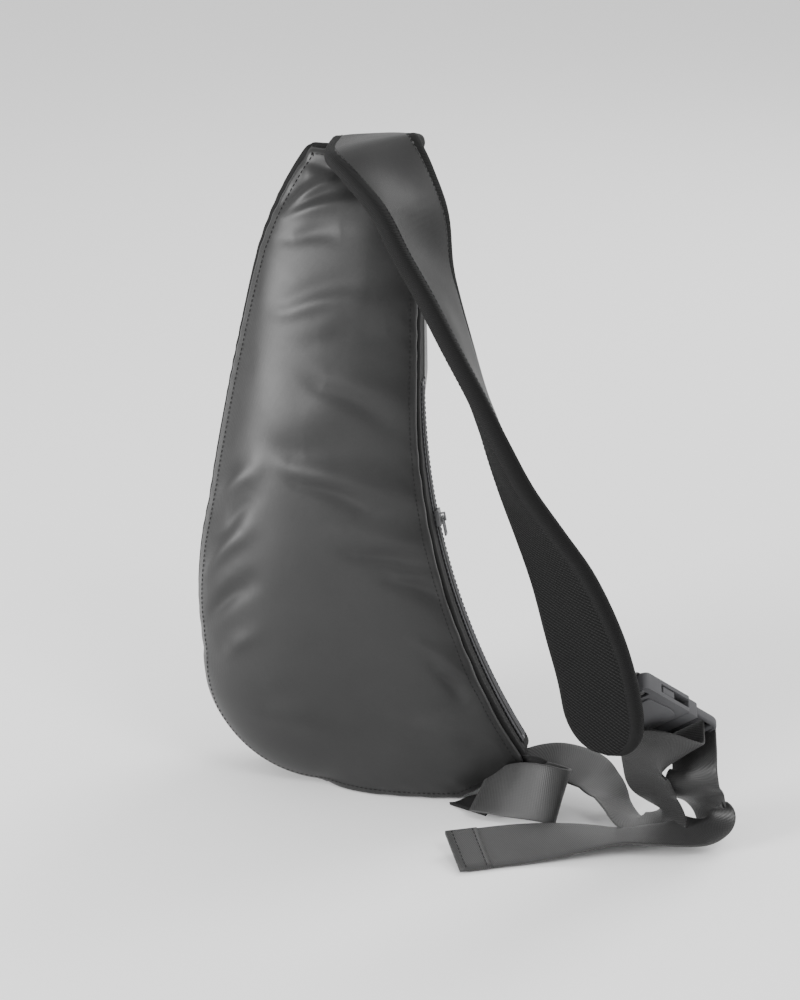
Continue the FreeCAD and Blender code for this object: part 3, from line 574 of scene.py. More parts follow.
class Repeated:
    """A Geometry Nodes tree that sets one small shape along a line, turned to follow it."""

    SEED = 7

    def __init__(self, name: str, finish: Finish) -> None:
        """Build the tree.

        Args:
            name: The tree's name.
            finish: The surface of every repeat.
        """
        tree = bpy.data.node_groups.new(name, "GeometryNodeTree")
        face = tree.interface
        face.new_socket("Geometry", in_out="INPUT", socket_type="NodeSocketGeometry")
        self.sockets = {
            label: face.new_socket(label, in_out="INPUT", socket_type="NodeSocketFloat").identifier
            for label in ("Pitch", "Long", "Thick", "Slant", "Jitter")
        }
        face.new_socket("Geometry", in_out="OUTPUT", socket_type="NodeSocketGeometry")
        self.tree = tree
        given = add_node(tree, "NodeGroupInput").outputs

        def add(kind: str, sockets: dict, output: str | int = 0, **settings: object) -> Socket:
            """Add a node to this tree and give one of its outputs."""
            return add_node(tree, kind, sockets, **settings).outputs[output]

        curve = add("GeometryNodeMeshToCurve", {"Mesh": given["Geometry"]})
        spaced = add("GeometryNodeResampleCurve", {"Curve": curve, "Length": given["Pitch"]}, mode="LENGTH")
        least = add("ShaderNodeMath", {0: given["Jitter"], 1: -1.0}, operation="MULTIPLY")
        strays = {2: least, 3: given["Jitter"], "Seed": self.SEED}
        stray = add("FunctionNodeRandomValue", strays, 1, data_type="FLOAT")
        turn = add("ShaderNodeMath", {0: stray, 1: given["Slant"]}, operation="ADD")
        forward = add("GeometryNodeInputTangent", {})
        aimed = add("FunctionNodeAlignRotationToVector", {"Vector": forward}, axis="X")
        stored = {"Name": "outward"}
        outward = add("GeometryNodeInputNamedAttribute", stored, "Attribute", data_type="FLOAT_VECTOR")
        lean = {"Rotation": aimed, "Vector": outward}
        levelled = add("FunctionNodeAlignRotationToVector", lean, axis="Z", pivot_axis="X")
        twist = add("FunctionNodeAxisAngleToRotation", {"Axis": (0, 0, 1), "Angle": turn})
        both = {"Rotation": levelled, "Rotate By": twist}
        rotated = add("FunctionNodeRotateRotation", both, rotation_space="LOCAL")
        bead = add("GeometryNodeMeshUVSphere", {"Segments": 8, "Rings": 5, "Radius": 0.5}, "Mesh")
        size = add("ShaderNodeCombineXYZ", {0: given["Long"], 1: given["Thick"], 2: given["Thick"]})
        spots = {"Points": spaced, "Instance": bead, "Rotation": rotated, "Scale": size}
        real = add("GeometryNodeRealizeInstances", {0: add("GeometryNodeInstanceOnPoints", spots)})
        smooth = add("GeometryNodeSetShadeSmooth", {0: real})
        dressed = add("GeometryNodeSetMaterial", {0: smooth, "Material": finish.material()})
        add_node(tree, "NodeGroupOutput", {0: dressed})

    def along(
        self,
        name: str,
        lines: Sequence[tuple[Points, Points]],
        pitch: float,
        long: float,
        thick: float,
        slant: float = 0.0,
        jitter: float = 0.0,
    ) -> bpy.types.Object:
        """Set the shape along lines.

        Args:
            name: The piece's name.
            lines: Each line's points and the outward direction at each.
            pitch: Distance from one to the next.
            long: The shape's length.
            thick: Its thickness.
            slant: Its angle to the line, in radians.
            jitter: How far that angle strays.

        Returns:
            One plain mesh of every repeat.
        """
        points = np.vstack([line for line, _ in lines])
        outward = np.vstack([np.broadcast_to(out, line.shape) for line, out in lines])
        mesh = bpy.data.meshes.new(name)
        edges, start = [], 0
        for line, _ in lines:
            edges += [(start + k, start + k + 1) for k in range(len(line) - 1)]
            start += len(line)
        mesh.from_pydata((points * MM).tolist(), edges, [])
        stored = mesh.attributes.new("outward", "FLOAT_VECTOR", "POINT")
        stored.data.foreach_set("vector", unit(outward).ravel())
        made = into_scene(name, mesh)
        modifier = made.modifiers.new("repeat", "NODES")
        modifier.node_group = self.tree
        sizes = {"Pitch": pitch * MM, "Long": long * MM, "Thick": thick * MM, "Slant": slant, "Jitter": jitter}
        for label, value in sizes.items():
            modifier[self.sockets[label]] = value
        return applied(made)


# ---- webbing -------------------------------------------------------------------------------------


@dataclass
class BuckleFrame:
    """The buckle's own axes: along from the socket's bar to the plug, across, and through."""

    origin: tuple[float, float, float] = (162.4, -105.0, 113.5)
    along: tuple[float, float, float] = (0.651, 0.495, -0.575)
    across: tuple[float, float, float] = (-0.753, 0.332, -0.567)

    def axes(self) -> Points:
        """Square the three directions to one another.

        Returns:
            The unit directions, as rows.
        """
        along = unit(self.along)
        through_it = unit(np.cross(along, self.across))
        return np.array([along, np.cross(through_it, along), through_it])

    def spot(self, along: float, across: float, through_it: float) -> Points:
        """Give a point from its place in the buckle's own frame."""
        return np.array(self.origin) + np.array([along, across, through_it]) @ self.axes()


@dataclass
class Ribbon:
    """Flat webbing swept along a line. No part of it goes below its floor."""

    width: float = 38.0
    thick: float = 1.5
    floor: float = 0.35

    @staticmethod
    def directions(line: Points, across: Points) -> tuple[Points, Points]:
        """Square the width to the line.

        Args:
            line: The middle of the webbing.
            across: Roughly its width direction at each point.

        Returns:
            Its width direction and the direction out of its face.
        """
        tangent = unit(np.gradient(line, axis=0))
        wide = unit(across - tangent * (across * tangent).sum(1, keepdims=True))
        return wide, np.cross(tangent, wide)

    def section(self) -> Points:
        """Draw the section: flat faces, with edges rounded off.

        Returns:
            The section's points, across and out of the face.
        """
        half, rise = self.width / 2, self.thick / 2
        profile = [(-half, 0.0), (-half + 0.25, rise * 0.75), (-half + 0.8, rise)]
        profile += [(share * half, rise) for share in (-0.75, -0.5, -0.25, 0.0, 0.25, 0.5, 0.75)]
        profile += [(-x, y) for x, y in profile[2::-1]]
        profile += [(x, -y) for x, y in profile[-2:0:-1]]
        return np.array(profile)

    def sweep(self, name: str, line: Points, across: Points) -> bpy.types.Object:
        """Sweep the section along a line.

        Args:
            name: The piece's name.
            line: The middle of the webbing.
            across: Its width direction at each point.

        Returns:
            The closed ribbon.
        """
        wide, out = self.directions(line, across)
        section = self.section()
        rings = line[:, None] + wide[:, None] * section[None, :, :1] + out[:, None] * section[None, :, 1:]
        rings[..., 2] = np.maximum(rings[..., 2], self.floor)
        faces = tube_faces(len(line), len(section))
        cloth = cloth_spots(travel(line), section[:, 0])
        return turned_out(piece_from(name, rings.reshape(-1, 3), faces, BELT_WEBBING, cloth))


@dataclass
class WaistWebbing:
    """The loose belt: from its sewn corner, in an S, up through the ladder lock and back to its hem.

    The run, the lock and the tail give the middle of the webbing. The run and the tail also give its
    width direction at each place, and the lock's places lie along and through the buckle.
    """

    buckle: BuckleFrame
    ribbon: Ribbon = field(default_factory=Ribbon)
    hem: float = 22.0
    hem_seam: float = 3.0
    run: tuple[tuple[Point, Point], ...] = (
        ((68, -48, 14), (-0.46, -0.76, -0.45)),
        ((82, -54, 19), (-0.38, -0.62, -0.68)),
        ((96, -65, 24), (-0.27, -0.36, -0.89)),
        ((112, -74, 27), (-0.23, -0.33, -0.92)),
        ((126, -74, 24), (-0.23, -0.40, -0.89)),
        ((125, -58, 19), (-0.25, -0.52, -0.82)),
        ((112, -46, 17), (-0.22, -0.55, -0.80)),
        ((100, -38, 17), (-0.04, -0.80, -0.60)),
        ((97, -26, 20), (0.06, -0.88, -0.46)),
        ((108, -19, 25), (0.09, -0.92, -0.38)),
        ((125, -24, 29), (0.06, -0.97, -0.22)),
        ((142, -33, 27), (0.00, -0.94, -0.34)),
        ((153, -42, 19), (0.04, -0.93, -0.35)),
        ((162, -53, 10), (0.21, -0.96, -0.19)),
        ((171, -63, 5), (0.38, -0.92, -0.10)),
        ((183, -65, 3), (0.30, -0.94, -0.08)),
        ((193, -66, 5), (0.42, -0.90, -0.08)),
        ((198, -68, 13), (0.62, -0.78, -0.05)),
        ((193, -72, 24), (0.78, -0.62, 0.00)),
        ((185, -76, 34), (0.88, -0.46, 0.04)),
        ((182, -83, 48), (0.85, -0.50, -0.10)),
        ((180, -90, 59), (0.82, -0.45, -0.30)),
        ((184, -97, 68), (0.55, -0.15, -0.75)),
        ((193, -101, 70), (-0.05, 0.20, -0.95)),
        ((201, -98, 67.5), (-0.50, 0.33, -0.80)),
    )
    lock: tuple[tuple[float, float], ...] = (
        (63.2, -20.4), (63.2, -9.4), (63.2, 4.6), (75.1, 4.6), (75.1, -9.4), (75.1, -20.4),
    )
    tail: tuple[tuple[Point, Point], ...] = (
        ((213, -88, 53.6), (-0.75, 0.33, -0.57)),
        ((212.5, -88, 45.5), (-0.76, 0.36, -0.54)),
        ((213, -83, 37.5), (-0.77, 0.42, -0.48)),
        ((216, -74, 30), (-0.76, 0.54, -0.35)),
        ((222, -68, 21), (-0.68, 0.71, -0.12)),
        ((226, -73, 15), (-0.56, 0.81, 0.12)),
        ((218, -84, 11), (-0.47, 0.87, 0.12)),
        ((208, -89, 10.5), (-0.44, 0.89, 0.05)),
        ((199, -92, 10.5), (-0.44, 0.89, -0.02)),
        ((187, -94, 10.5), (-0.42, 0.90, -0.08)),
        ((169, -95, 9), (-0.18, 0.96, -0.20)),
        ((149, -99, 9.5), (-0.14, 0.99, -0.02)),
        ((125, -106, 8.5), (-0.26, 0.95, 0.19)),
        ((101, -115, 8), (-0.36, 0.88, 0.31)),
        ((79, -124, 8), (-0.35, 0.89, 0.30)),
        ((60, -132, 8), (-0.37, 0.88, 0.29)),
    )

    def hem_stitches(self, stitches: Repeated, line: Points, across: Points) -> bpy.types.Object:
        """Sew the folded hem with two rows of stitches on each face.

        Args:
            stitches: The stitch to repeat.
            line: The middle of the webbing.
            across: Its width direction at each point.

        Returns:
            The stitches.
        """
        side, face = self.ribbon.directions(line, across)
        travelled = travel(line)
        reach, proud = self.ribbon.width / 2 - 2, 1.7
        rows = []
        for back in (self.hem_seam, self.hem - self.hem_seam):
            k = int(np.argmin(abs(travelled - (travelled[-1] - back))))
            for sign in (1, -1):
                start, end = (line[k] + side[k] * s * reach + face[k] * sign * proud for s in (-1, 1))
                rows.append((np.linspace(start, end, 12), face[k] * sign))
        return stitches.along("webbing_hem_stitches", rows, 3.2, 2.6, 0.7)

    def build(self, stitches: Repeated) -> None:
        """Args:
            stitches: The stitch to repeat along the hem.
        """
        width_at_lock = self.buckle.axes()[1]
        at_lock = [(self.buckle.spot(along, 0, depth), width_at_lock) for along, depth in self.lock]
        route = [*self.run, *at_lock, *self.tail]
        line = smooth_line("belt_line", np.array([p for p, _ in route], float))
        across = smooth_line("belt_across", np.array([w for _, w in route], float))
        belt = self.ribbon.sweep("waist_webbing", line, across)
        travelled = travel(line)
        folded = travelled > travelled[-1] - self.hem - 2
        wide = Ribbon(self.ribbon.width + 0.5, self.ribbon.thick * 2.1)
        hem = wide.sweep("webbing_hem", line[folded], across[folded])
        seam = self.hem_stitches(stitches, line, across)
        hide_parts("webbing_run", "webbing_tail", "webbing_wrap")
        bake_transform(belt)
        LOG.info("%s: %.0f mm long, from bag to plug", belt.name, travelled[-1])
        settle(hem, BELT_WEBBING, "bag", "tail_hem")
        settle(seam, THREAD, "bag")


# ---- the bag's shell -----------------------------------------------------------------------------


class Panel(Enum):
    """The three panels that the shell is sewn from."""

    BACK = 0
    FRONT = 1
    GUSSET = 2


@dataclass(frozen=True)
class Fold:
    """A crease in a panel: from one place to another, how far it stands out, and how wide it is."""

    start: tuple[float, float]
    end: tuple[float, float]
    rise: float
    wide: float

    def lift(self, flat: Points) -> Points:
        """Work out how far the crease lifts each place of the panel.

        Args:
            flat: The places, seen flat from behind.

        Returns:
            Each place's lift.
        """
        a, b = np.array(self.start), np.array(self.end)
        run = b - a
        long = np.linalg.norm(run)
        share = ((flat - a) @ run) / long**2
        inside = np.clip(share, 0, 1)
        bow = 0.06 * long * np.sin(inside * math.pi)
        off = ((flat - a) @ np.array([-run[1], run[0]])) / long - bow
        outside = np.maximum(np.maximum(-share, share - 1), 0) * long
        fade = np.exp(-((outside / (self.wide * 1.8)) ** 2))
        mid = 0.45 + 0.55 * np.sin(inside * math.pi)
        wide = self.wide * (0.75 + 0.5 * inside)
        crest, trough = np.exp(-((off / wide) ** 2)), np.exp(-(((off - 1.9 * wide) / wide) ** 2))
        return self.rise * fade * mid * (crest - 0.35 * trough)


@dataclass(frozen=True)
class CoarseShell:
    """The shell before it is filled: its mesh, each face's panel, and what holds its seams."""

    points: Points
    faces: Faces
    panels: list[int]
    loop: list[int]
    zip_side: Points


@dataclass
class BagShell:
    """The teardrop body: a padded back panel, a front panel, and the side wall sewn between them."""

    width: float = 234.0
    height: float = 448.0
    depth: float = 110.0
    rows: int = 72
    columns: int = 34
    wall_rows: int = 8
    cloth_thick: float = 1.6
    front_tuck: float = 23.0
    zip_setback: float = 12.0
    left: tuple[tuple[Point, Optional[Point]], ...] = (
        ((-0.192, 0.0), (-0.419, 0.0446)),
        ((-0.547, 0.212), (-0.5577, 0.3125)),
        ((-0.522, 0.446), (-0.456, 0.636)),
        ((-0.367, 0.837), (-0.287, 0.9375)),
        ((-0.218, 1.0), None),
    )
    right: tuple[tuple[Point, Optional[Point]], ...] = (
        ((0.222, 0.0), None),
        ((0.427, 0.069), (0.1795, 0.357)),
        ((0.1026, 0.67), None),
        ((0.098, 1.0), None),
    )
    back: tuple[tuple[Point, Optional[Point]], ...] = (
        ((-0.382, 0.0), (-0.473, 0.3)), ((-0.4, 0.67), (-0.29, 0.86)), ((-0.109, 1.0), None),
    )
    front: tuple[tuple[Point, Optional[Point]], ...] = (
        ((0.418, 0.0), (0.515, 0.15)), ((0.527, 0.335), (0.418, 0.692)), ((0.109, 1.0), None),
    )
    back_edges: tuple[tuple[float, float], ...] = ((84.0, 40.0), (46.0, 10.0), (40.0, 10.0), (12.0, 8.0))
    front_edges: tuple[tuple[float, float], ...] = ((40.0, 24.0), (26.0, 16.0), (16.0, 10.0), (12.0, 8.0))
    top_sag: float = 3.5
    wall_bulge: float = 2.5
    fill_frames: int = 20
    stitch_inset: float = 5.0
    folds: tuple[Fold, ...] = (
        Fold((-52, 447), (-22, 438), -3.0, 5.0),
        Fold((-52, 434), (-20, 423), -2.6, 5.5),
        Fold((-66, 403), (-24, 428), 2.6, 4.0),
        Fold((-66, 398), (-15, 412), 2.4, 4.5),
        Fold((-60, 386), (-28, 392), -1.6, 6.0),
        Fold((-62, 339), (-6, 351), 1.8, 6.0),
        Fold((-40, 322), (4, 330), -1.3, 8.0),
        Fold((-38, 291), (8, 269), -2.2, 7.0),
        Fold((-50, 249), (20, 258), -2.6, 15.0),
        Fold((-60, 238), (24, 217), 2.2, 8.0),
        Fold((-52, 226), (-6, 211), -2.4, 5.5),
        Fold((-112, 205), (-86, 233), 2.6, 5.5),
        Fold((-104, 190), (-86, 214), -1.4, 5.0),
        Fold((-121, 152), (-92, 190), 2.8, 5.5),
        Fold((-119, 123), (-90, 154), -2.8, 5.5),
        Fold((-108, 98), (-86, 118), 1.2, 5.0),
        Fold((-14, 180), (34, 169), -3.2, 6.5),
        Fold((12, 162), (47, 146), -3.2, 6.0),
        Fold((-20, 196), (26, 190), 1.4, 7.0),
        Fold((30, 118), (54, 100), 1.4, 5.0),
        Fold((40, 99), (58, 76), -3.0, 5.5),
        Fold((66, 91), (92, 40), -3.2, 6.0),
        Fold((20, 60), (60, 44), 2.0, 10.0),
        Fold((-80, 60), (-30, 52), 1.8, 12.0),
    )

    def side_line(self, steps: Sequence[tuple[Point, Optional[Point]]], across: float) -> Points:
        """Draw one side, or the back or front seen from the side.

        Args:
            steps: Its corners, each with the middle of the stretch that follows where that is round.
            across: The size that their first number is a share of.

        Returns:
            The line's points.
        """
        size = np.array([across, self.height])
        parts = []
        for (corner, middle), (after, _) in zip(steps, steps[1:]):
            a, b = np.array(corner) * size, np.array(after) * size
            straight = middle is None
            parts.append(np.linspace(a, b, 25) if straight else arc_through(a, np.array(middle) * size, b, 40))
        return np.vstack([part[:-1] for part in parts] + [parts[-1][-1:]])

    def profile(self, steps: Sequence[tuple[Point, Optional[Point]]], heights: Points) -> Points:
        """Read the depth of the back or the front.

        Args:
            steps: Its corners and round stretches.
            heights: Where it is read.

        Returns:
            The depth at each height.
        """
        line = self.side_line(steps, self.depth)
        order = np.argsort(line[:, 1])
        return np.interp(heights, line[order, 1], line[order, 0])

    def tuck(self, heights: Points) -> Points:
        """Read how far the front panel's edge is drawn in on the zip side."""
        eased = 1 - 0.62 * np.clip((heights - 190) / 90, 0, 1)
        return self.front_tuck * eased * np.clip(heights / 20, 0.3, 1)

    def zip_corners(self) -> Points:
        """Give the top, middle and foot of the round stretch that holds the main zip."""
        (low, middle), (high, _) = self.right[1:3]
        return np.array([high, middle, low]) * np.array([self.width, self.height])

    def sheet(self, ahead: bool, flat: Points, away: Sequence[Points]) -> Points:
        """Lay one panel, rounded over towards its seams.

        Args:
            ahead: Whether it is the front panel.
            flat: Its places, seen flat from behind.
            away: Their distances to the left side, the right side, the base and the top.

        Returns:
            Its vertices.
        """
        steps, edges, sign = (self.front, self.front_edges, -1) if ahead else (self.back, self.back_edges, 1)
        total = self.profile(self.front, flat[:, 1]) - self.profile(self.back, flat[:, 1])
        drop = 0
        for off, (reach, deep) in zip(away, edges):
            near = 1 - np.minimum(off / reach, 1)
            drop = drop + (np.minimum(deep, 0.4 * total) * (1 - np.sqrt(1 - near**2))) ** 2.5
        drop = np.minimum(drop**0.4, 0.45 * total)
        sag = self.top_sag * np.clip((flat[:, 1] - 400) / (self.height - 400), 0, 1) ** 1.5
        return np.c_[flat[:, 0], self.profile(steps, flat[:, 1]) + sign * drop, flat[:, 1] - sag]

    def wall(self, behind: Points, ahead: Points, flat: Points, centre: Point, right: Points) -> list[Points]:
        """Lay the side wall's rings between the edges of the two panels.

        Args:
            behind: The back panel's edge.
            ahead: The front panel's edge, point for point.
            flat: The edge, seen flat from behind.
            centre: The panel's middle, seen so too.
            right: The right side.

        Returns:
            The rings from back to front, without the panels' own edges.
        """
        to_right = distance_to(flat, right)
        bulge = unit(flat - centre)
        soft = np.clip((70 - flat[:, 0]) / 60, 0, 1) * (flat[:, 1] > 3) * (to_right > 6)
        rings = []
        for share in np.linspace(0, 1, self.wall_rows + 1)[1:-1]:
            ring = behind * (1 - share) + ahead * share
            into = np.clip((ring[:, 1] + 3) / np.maximum(ahead[:, 1] + 3, 1), 0, 1) ** 1.5
            eased = behind[:, 0] + (ahead[:, 0] - behind[:, 0]) * into
            ring[:, 0] = np.where(to_right < 0.5, eased, ring[:, 0])
            push = self.wall_bulge * math.sin(math.pi * share) * soft
            ring[:, 0] += bulge[:, 0] * push
            ring[:, 2] += bulge[:, 1] * push * (flat[:, 1] < self.height - 4)
            rings.append(ring)
        return rings

    def lay(self) -> CoarseShell:
        """Lay the coarse shell: two panels row by row, then the side wall's rings between them.

        Returns:
            The coarse shell.
        """
        rows, columns = self.rows + 1, self.columns + 1
        v, u = np.linspace(0, 1, rows), np.linspace(0, 1, columns)
        u = 0.45 * u + 0.55 * (1 - np.cos(math.pi * u)) / 2
        v = 0.7 * v + 0.3 * (1 - np.cos(math.pi * v)) / 2
        left, right = (evenly(self.side_line(steps, self.width), v) for steps in (self.left, self.right))
        flat = (left[:, None] * (1 - u[None, :, None]) + right[:, None] * u[None, :, None]).reshape(-1, 2)
        sides = [left, right, np.array([left[0], right[0]]), np.array([left[-1], right[-1]])]
        away = [distance_to(flat, side) for side in sides]
        behind, ahead = self.sheet(False, flat, away), self.sheet(True, flat, away)
        ahead[:, 0] -= self.tuck(flat[:, 1]) * np.tile(u, rows) ** 2
        index = np.arange(rows * columns).reshape(rows, columns)
        loop = np.r_[index[0], index[1:, -1], index[-1, -2::-1], index[-2:0:-1, 0]].tolist()
        count, ring = rows * columns, len(loop)
        between = self.wall(behind[loop], ahead[loop], flat[loop], flat.mean(0), right)
        quads = grid_faces(rows, columns)
        faces = [*quads, *(tuple(count + k for k in quad) for quad in quads)]
        panels = [Panel.BACK.value] * len(quads) + [Panel.FRONT.value] * len(quads)
        rings = [loop, *(range(2 * count + r * ring, 2 * count + (r + 1) * ring) for r in range(len(between)))]
        rings.append([count + k for k in loop])
        for one, two in zip(rings, rings[1:]):
            faces += [(one[k], one[(k + 1) % ring], two[(k + 1) % ring], two[k]) for k in range(ring)]
        panels += [Panel.GUSSET.value] * (len(faces) - len(panels))
        return CoarseShell(np.vstack([behind, ahead, *between]), faces, panels, loop, right)

    def limits(self, coarse: CoarseShell) -> tuple[Points, Points]:
        """Say what each vertex may do while the shell is filled.

        Args:
            coarse: The shell.

        Returns:
            How firmly each is held, from 0 to 1, and how far it may move, in millimetres.
        """
        points = coarse.points
        count = (self.rows + 1) * (self.columns + 1)
        held = np.zeros(len(points))
        held[coarse.loop] = held[[count + k for k in coarse.loop]] = 1
        wall = np.arange(len(points)) >= 2 * count
        held[wall] = 0.55
        held[wall & (distance_to(points[:, [0, 2]], coarse.zip_side) < 5)] = 1
        held[points[:, 2] < 1] = 1
        return held, np.where(points[:, 1] > 20, 2.5, 4.5)

    def inflate(self, piece: bpy.types.Object, held: Points, most: Points) -> None:
        """Fill the sewn shell with gentle pressure, holding its seams.

        Args:
            piece: The coarse shell.
            held: How firmly each vertex is held, from 0 to 1.
            most: How far each vertex may move, in millimetres.
        """
        scene = bpy.context.scene
        pins = piece.vertex_groups.new(name="seams")
        for index, weight in enumerate(held):
            pins.add([index], float(weight), "REPLACE")
        cloth = piece.modifiers.new("fill", "CLOTH")
        settings = cloth.settings
        settings.quality = 6
        settings.mass = 0.3
        settings.tension_stiffness = 20
        settings.compression_stiffness = 12
        settings.bending_stiffness = 1.2
        settings.use_pressure = True
        settings.uniform_pressure_force = 4.0
        settings.vertex_group_mass = "seams"
        settings.effector_weights.gravity = 0.0
        cloth.collision_settings.use_collision = False
        start = np.array([v.co for v in piece.data.vertices])
        for frame in range(1, self.fill_frames + 1):
            scene.frame_set(frame)
        graph = bpy.context.evaluated_depsgraph_get()
        moved = np.array([v.co for v in piece.evaluated_get(graph).data.vertices]) - start
        far = np.linalg.norm(moved, axis=1, keepdims=True)
        cap = (most * MM)[:, None]
        moved *= cap * np.tanh(far / np.maximum(cap, 1e-6)) / np.maximum(far, 1e-9)
        piece.modifiers.remove(cloth)
        piece.vertex_groups.clear()
        piece.data.vertices.foreach_set("co", (start + moved).ravel())
        scene.frame_set(1)
        LOG.info("shell filled: furthest move %.1f mm", 1000 * np.linalg.norm(moved, axis=1).max())

    def ruffle(self, points: Points, normals: Points, seam: Points) -> Points:
        """Crease the back panel, pucker the cloth beside its seams and press in the zip's channel.

        Args:
            points: The shell's vertices.
            normals: Their normals.
            seam: The back panel's edge.

        Returns:
            The vertices, moved.
        """
        flat = points[:, [0, 2]]
        facing = np.clip(-normals[:, 1], 0, 1)
        lift = sum(f.lift(flat) for f in self.folds) * facing
        along = flat @ unit(np.array([0.35, 0.94]))
        across = flat @ unit(np.array([0.94, -0.35]))
        drift = 6 * np.sin(across / 21 + 0.7) + 4 * np.sin(across / 9.3 + 2)
        wander = np.sin((along + drift) / 15) * np.sin(across / 38 + 1.3)
        wander = wander + 0.4 * np.sin((along - drift) / 9.5 + 1)
        upper = 0.35 + 0.65 * np.clip((flat[:, 1] - 180) / 200, 0, 1)
        lift = lift + 0.55 * wander * upper * facing
        near = distance_to(points, seam)
        phase = points @ np.array([0.31, 0.1, 0.43]) + 1.7 * np.sin(points[:, 2] / 23)
        pucker = np.sin(phase) * np.exp(-near / 8)
        pucker *= 0.5 + 0.5 * np.sin(points[:, 2] / 17 + points[:, 0] / 29)
        groove = -0.9 * np.exp(-((near / 1.6) ** 2)) + 0.5 * np.exp(-(((near - 4) / 2) ** 2))
        side = self.side_line(self.right, self.width)
        zip_line = np.c_[side[:, 0], np.full(len(side), -self.zip_setback), side[:, 1]]
        channel = -0.9 * np.clip((11 - distance_to(points, zip_line)) / 3, 0, 1)
        return points + normals * (lift + 0.32 * pucker + groove + channel)[:, None]

    def build(self, stitches: Repeated) -> None:
        """Make the three panels, as cloth with a real thickness, and stitch their seams.

        Args:
            stitches: The stitch to repeat along the seams.
        """
        coarse = self.lay()
        shell = turned_out(piece_from("shell_coarse", coarse.points, coarse.faces, SHELL_NYLON))
        for _ in range(len(Panel) - 1):
            shell.data.materials.append(SHELL_NYLON.material())
        shell.data.polygons.foreach_set("material_index", coarse.panels)
        self.inflate(shell, *self.limits(coarse))
        rounded = shell.modifiers.new("rounded", "SUBSURF")
        rounded.levels = rounded.render_levels = 2
        fine = applied(shell).data
        place, normal = (np.zeros(len(fine.vertices) * 3) for _ in range(2))
        fine.vertices.foreach_get("co", place)
        fine.vertices.foreach_get("normal", normal)
        place, normal = place.reshape(-1, 3) / MM, normal.reshape(-1, 3)
        kinds = np.zeros(len(fine.polygons), int)
        fine.polygons.foreach_get("material_index", kinds)
        quads = np.array([p.vertices[:] for p in fine.polygons])
        faced = (Panel.BACK, Panel.FRONT)
        edges = {panel: self.border(place, quads[kinds == panel.value]) for panel in faced}
        back_edge = edges[Panel.BACK]
        shaped = self.ruffle(place, normal, np.vstack([back_edge, back_edge[:1]])[::2])
        shaped[:, 2] = np.maximum(shaped[:, 2], 0.2)
        rows = []
        for panel, edge in edges.items():
            own = np.unique(quads[kinds == panel.value])
            rows.append(self.beside(edge, shaped[own], normal[own]))
        settle(stitches.along("shell_seam_stitches", rows, 3.4, 2.5, 0.5), THREAD, "bag")
        pieces = {
            Panel.BACK: ("back_panel_cloth", SHELL_NYLON, ("back_panel", "back_foam", "lining_back")),
            Panel.FRONT: ("front_panel_cloth", SHELL_NYLON, ("front_panel", "lining_front")),
            # the side wall takes the darker nylon copy, painted shade
            Panel.GUSSET: (
                "side_wall_cloth", SHADED_WALL_NYLON, ("gusset_outer", "gusset_zip_back", "gusset_zip_front")
            ),
        }
        for panel, (name, finish, nodes) in pieces.items():
            chosen = quads[kinds == panel.value]
            used, renamed = np.unique(chosen, return_inverse=True)
            part = piece_from(name, shaped[used], renamed.reshape(chosen.shape).tolist(), finish)
            settle(thickened(part, self.cloth_thick), finish, "bag", *nodes)
        bpy.data.objects.remove(shell)

    def beside(self, edge: Points, surface: Points, normals: Points) -> tuple[Points, Points]:
        """Draw a line on a panel that runs a stitch's inset in from its edge.

        Args:
            edge: The panel's closed boundary, in order.
            surface: The panel's vertices.
            normals: Its vertex normals.

        Returns:
            The line's points, just proud of the cloth, and the outward direction at each.
        """
        ring = np.vstack([edge, edge[:1]])[::2]
        flat, seen = ring[:, [0, 2]], surface[:, [0, 2]]
        inward = unit(np.gradient(flat, axis=0)) @ np.array([[0, 1], [-1, 0]])
        if ((flat.mean(0) - flat) * inward).sum() < 0:
            inward = -inward
        points, outward = [], []
        for target in flat + inward * self.stitch_inset:
            nearest = np.argsort(((seen - target) ** 2).sum(1))[:6]
            points.append(surface[nearest].mean(0))
            outward.append(normals[nearest].mean(0))
        line, out = np.array(points), unit(np.array(outward))
        line[1:-1] = (line[:-2] + 2 * line[1:-1] + line[2:]) / 4
        high = line[:, 2] > 4
        return line[high] + out[high] * 0.35, out[high]

    @staticmethod
    def border(place: Points, quads: Points) -> Points:
        """Walk round the closed boundary of a set of faces.

        Args:
            place: The vertices.
            quads: The faces.

        Returns:
            The boundary's points, in order.
        """
        edges = np.vstack([quads[:, [k, (k + 1) % 4]] for k in range(4)])
        keys, counts = np.unique(np.sort(edges, axis=1), axis=0, return_counts=True)
        links: dict[int, list[int]] = {}
        for a, b in keys[counts == 1]:
            links.setdefault(int(a), []).append(int(b))
            links.setdefault(int(b), []).append(int(a))
        start = min(links)
        order, here, before = [start], links[start][0], start
        while here != start:
            order.append(here)
            one, two = links[here]
            here, before = (two if one == before else one), here
        return place[order]


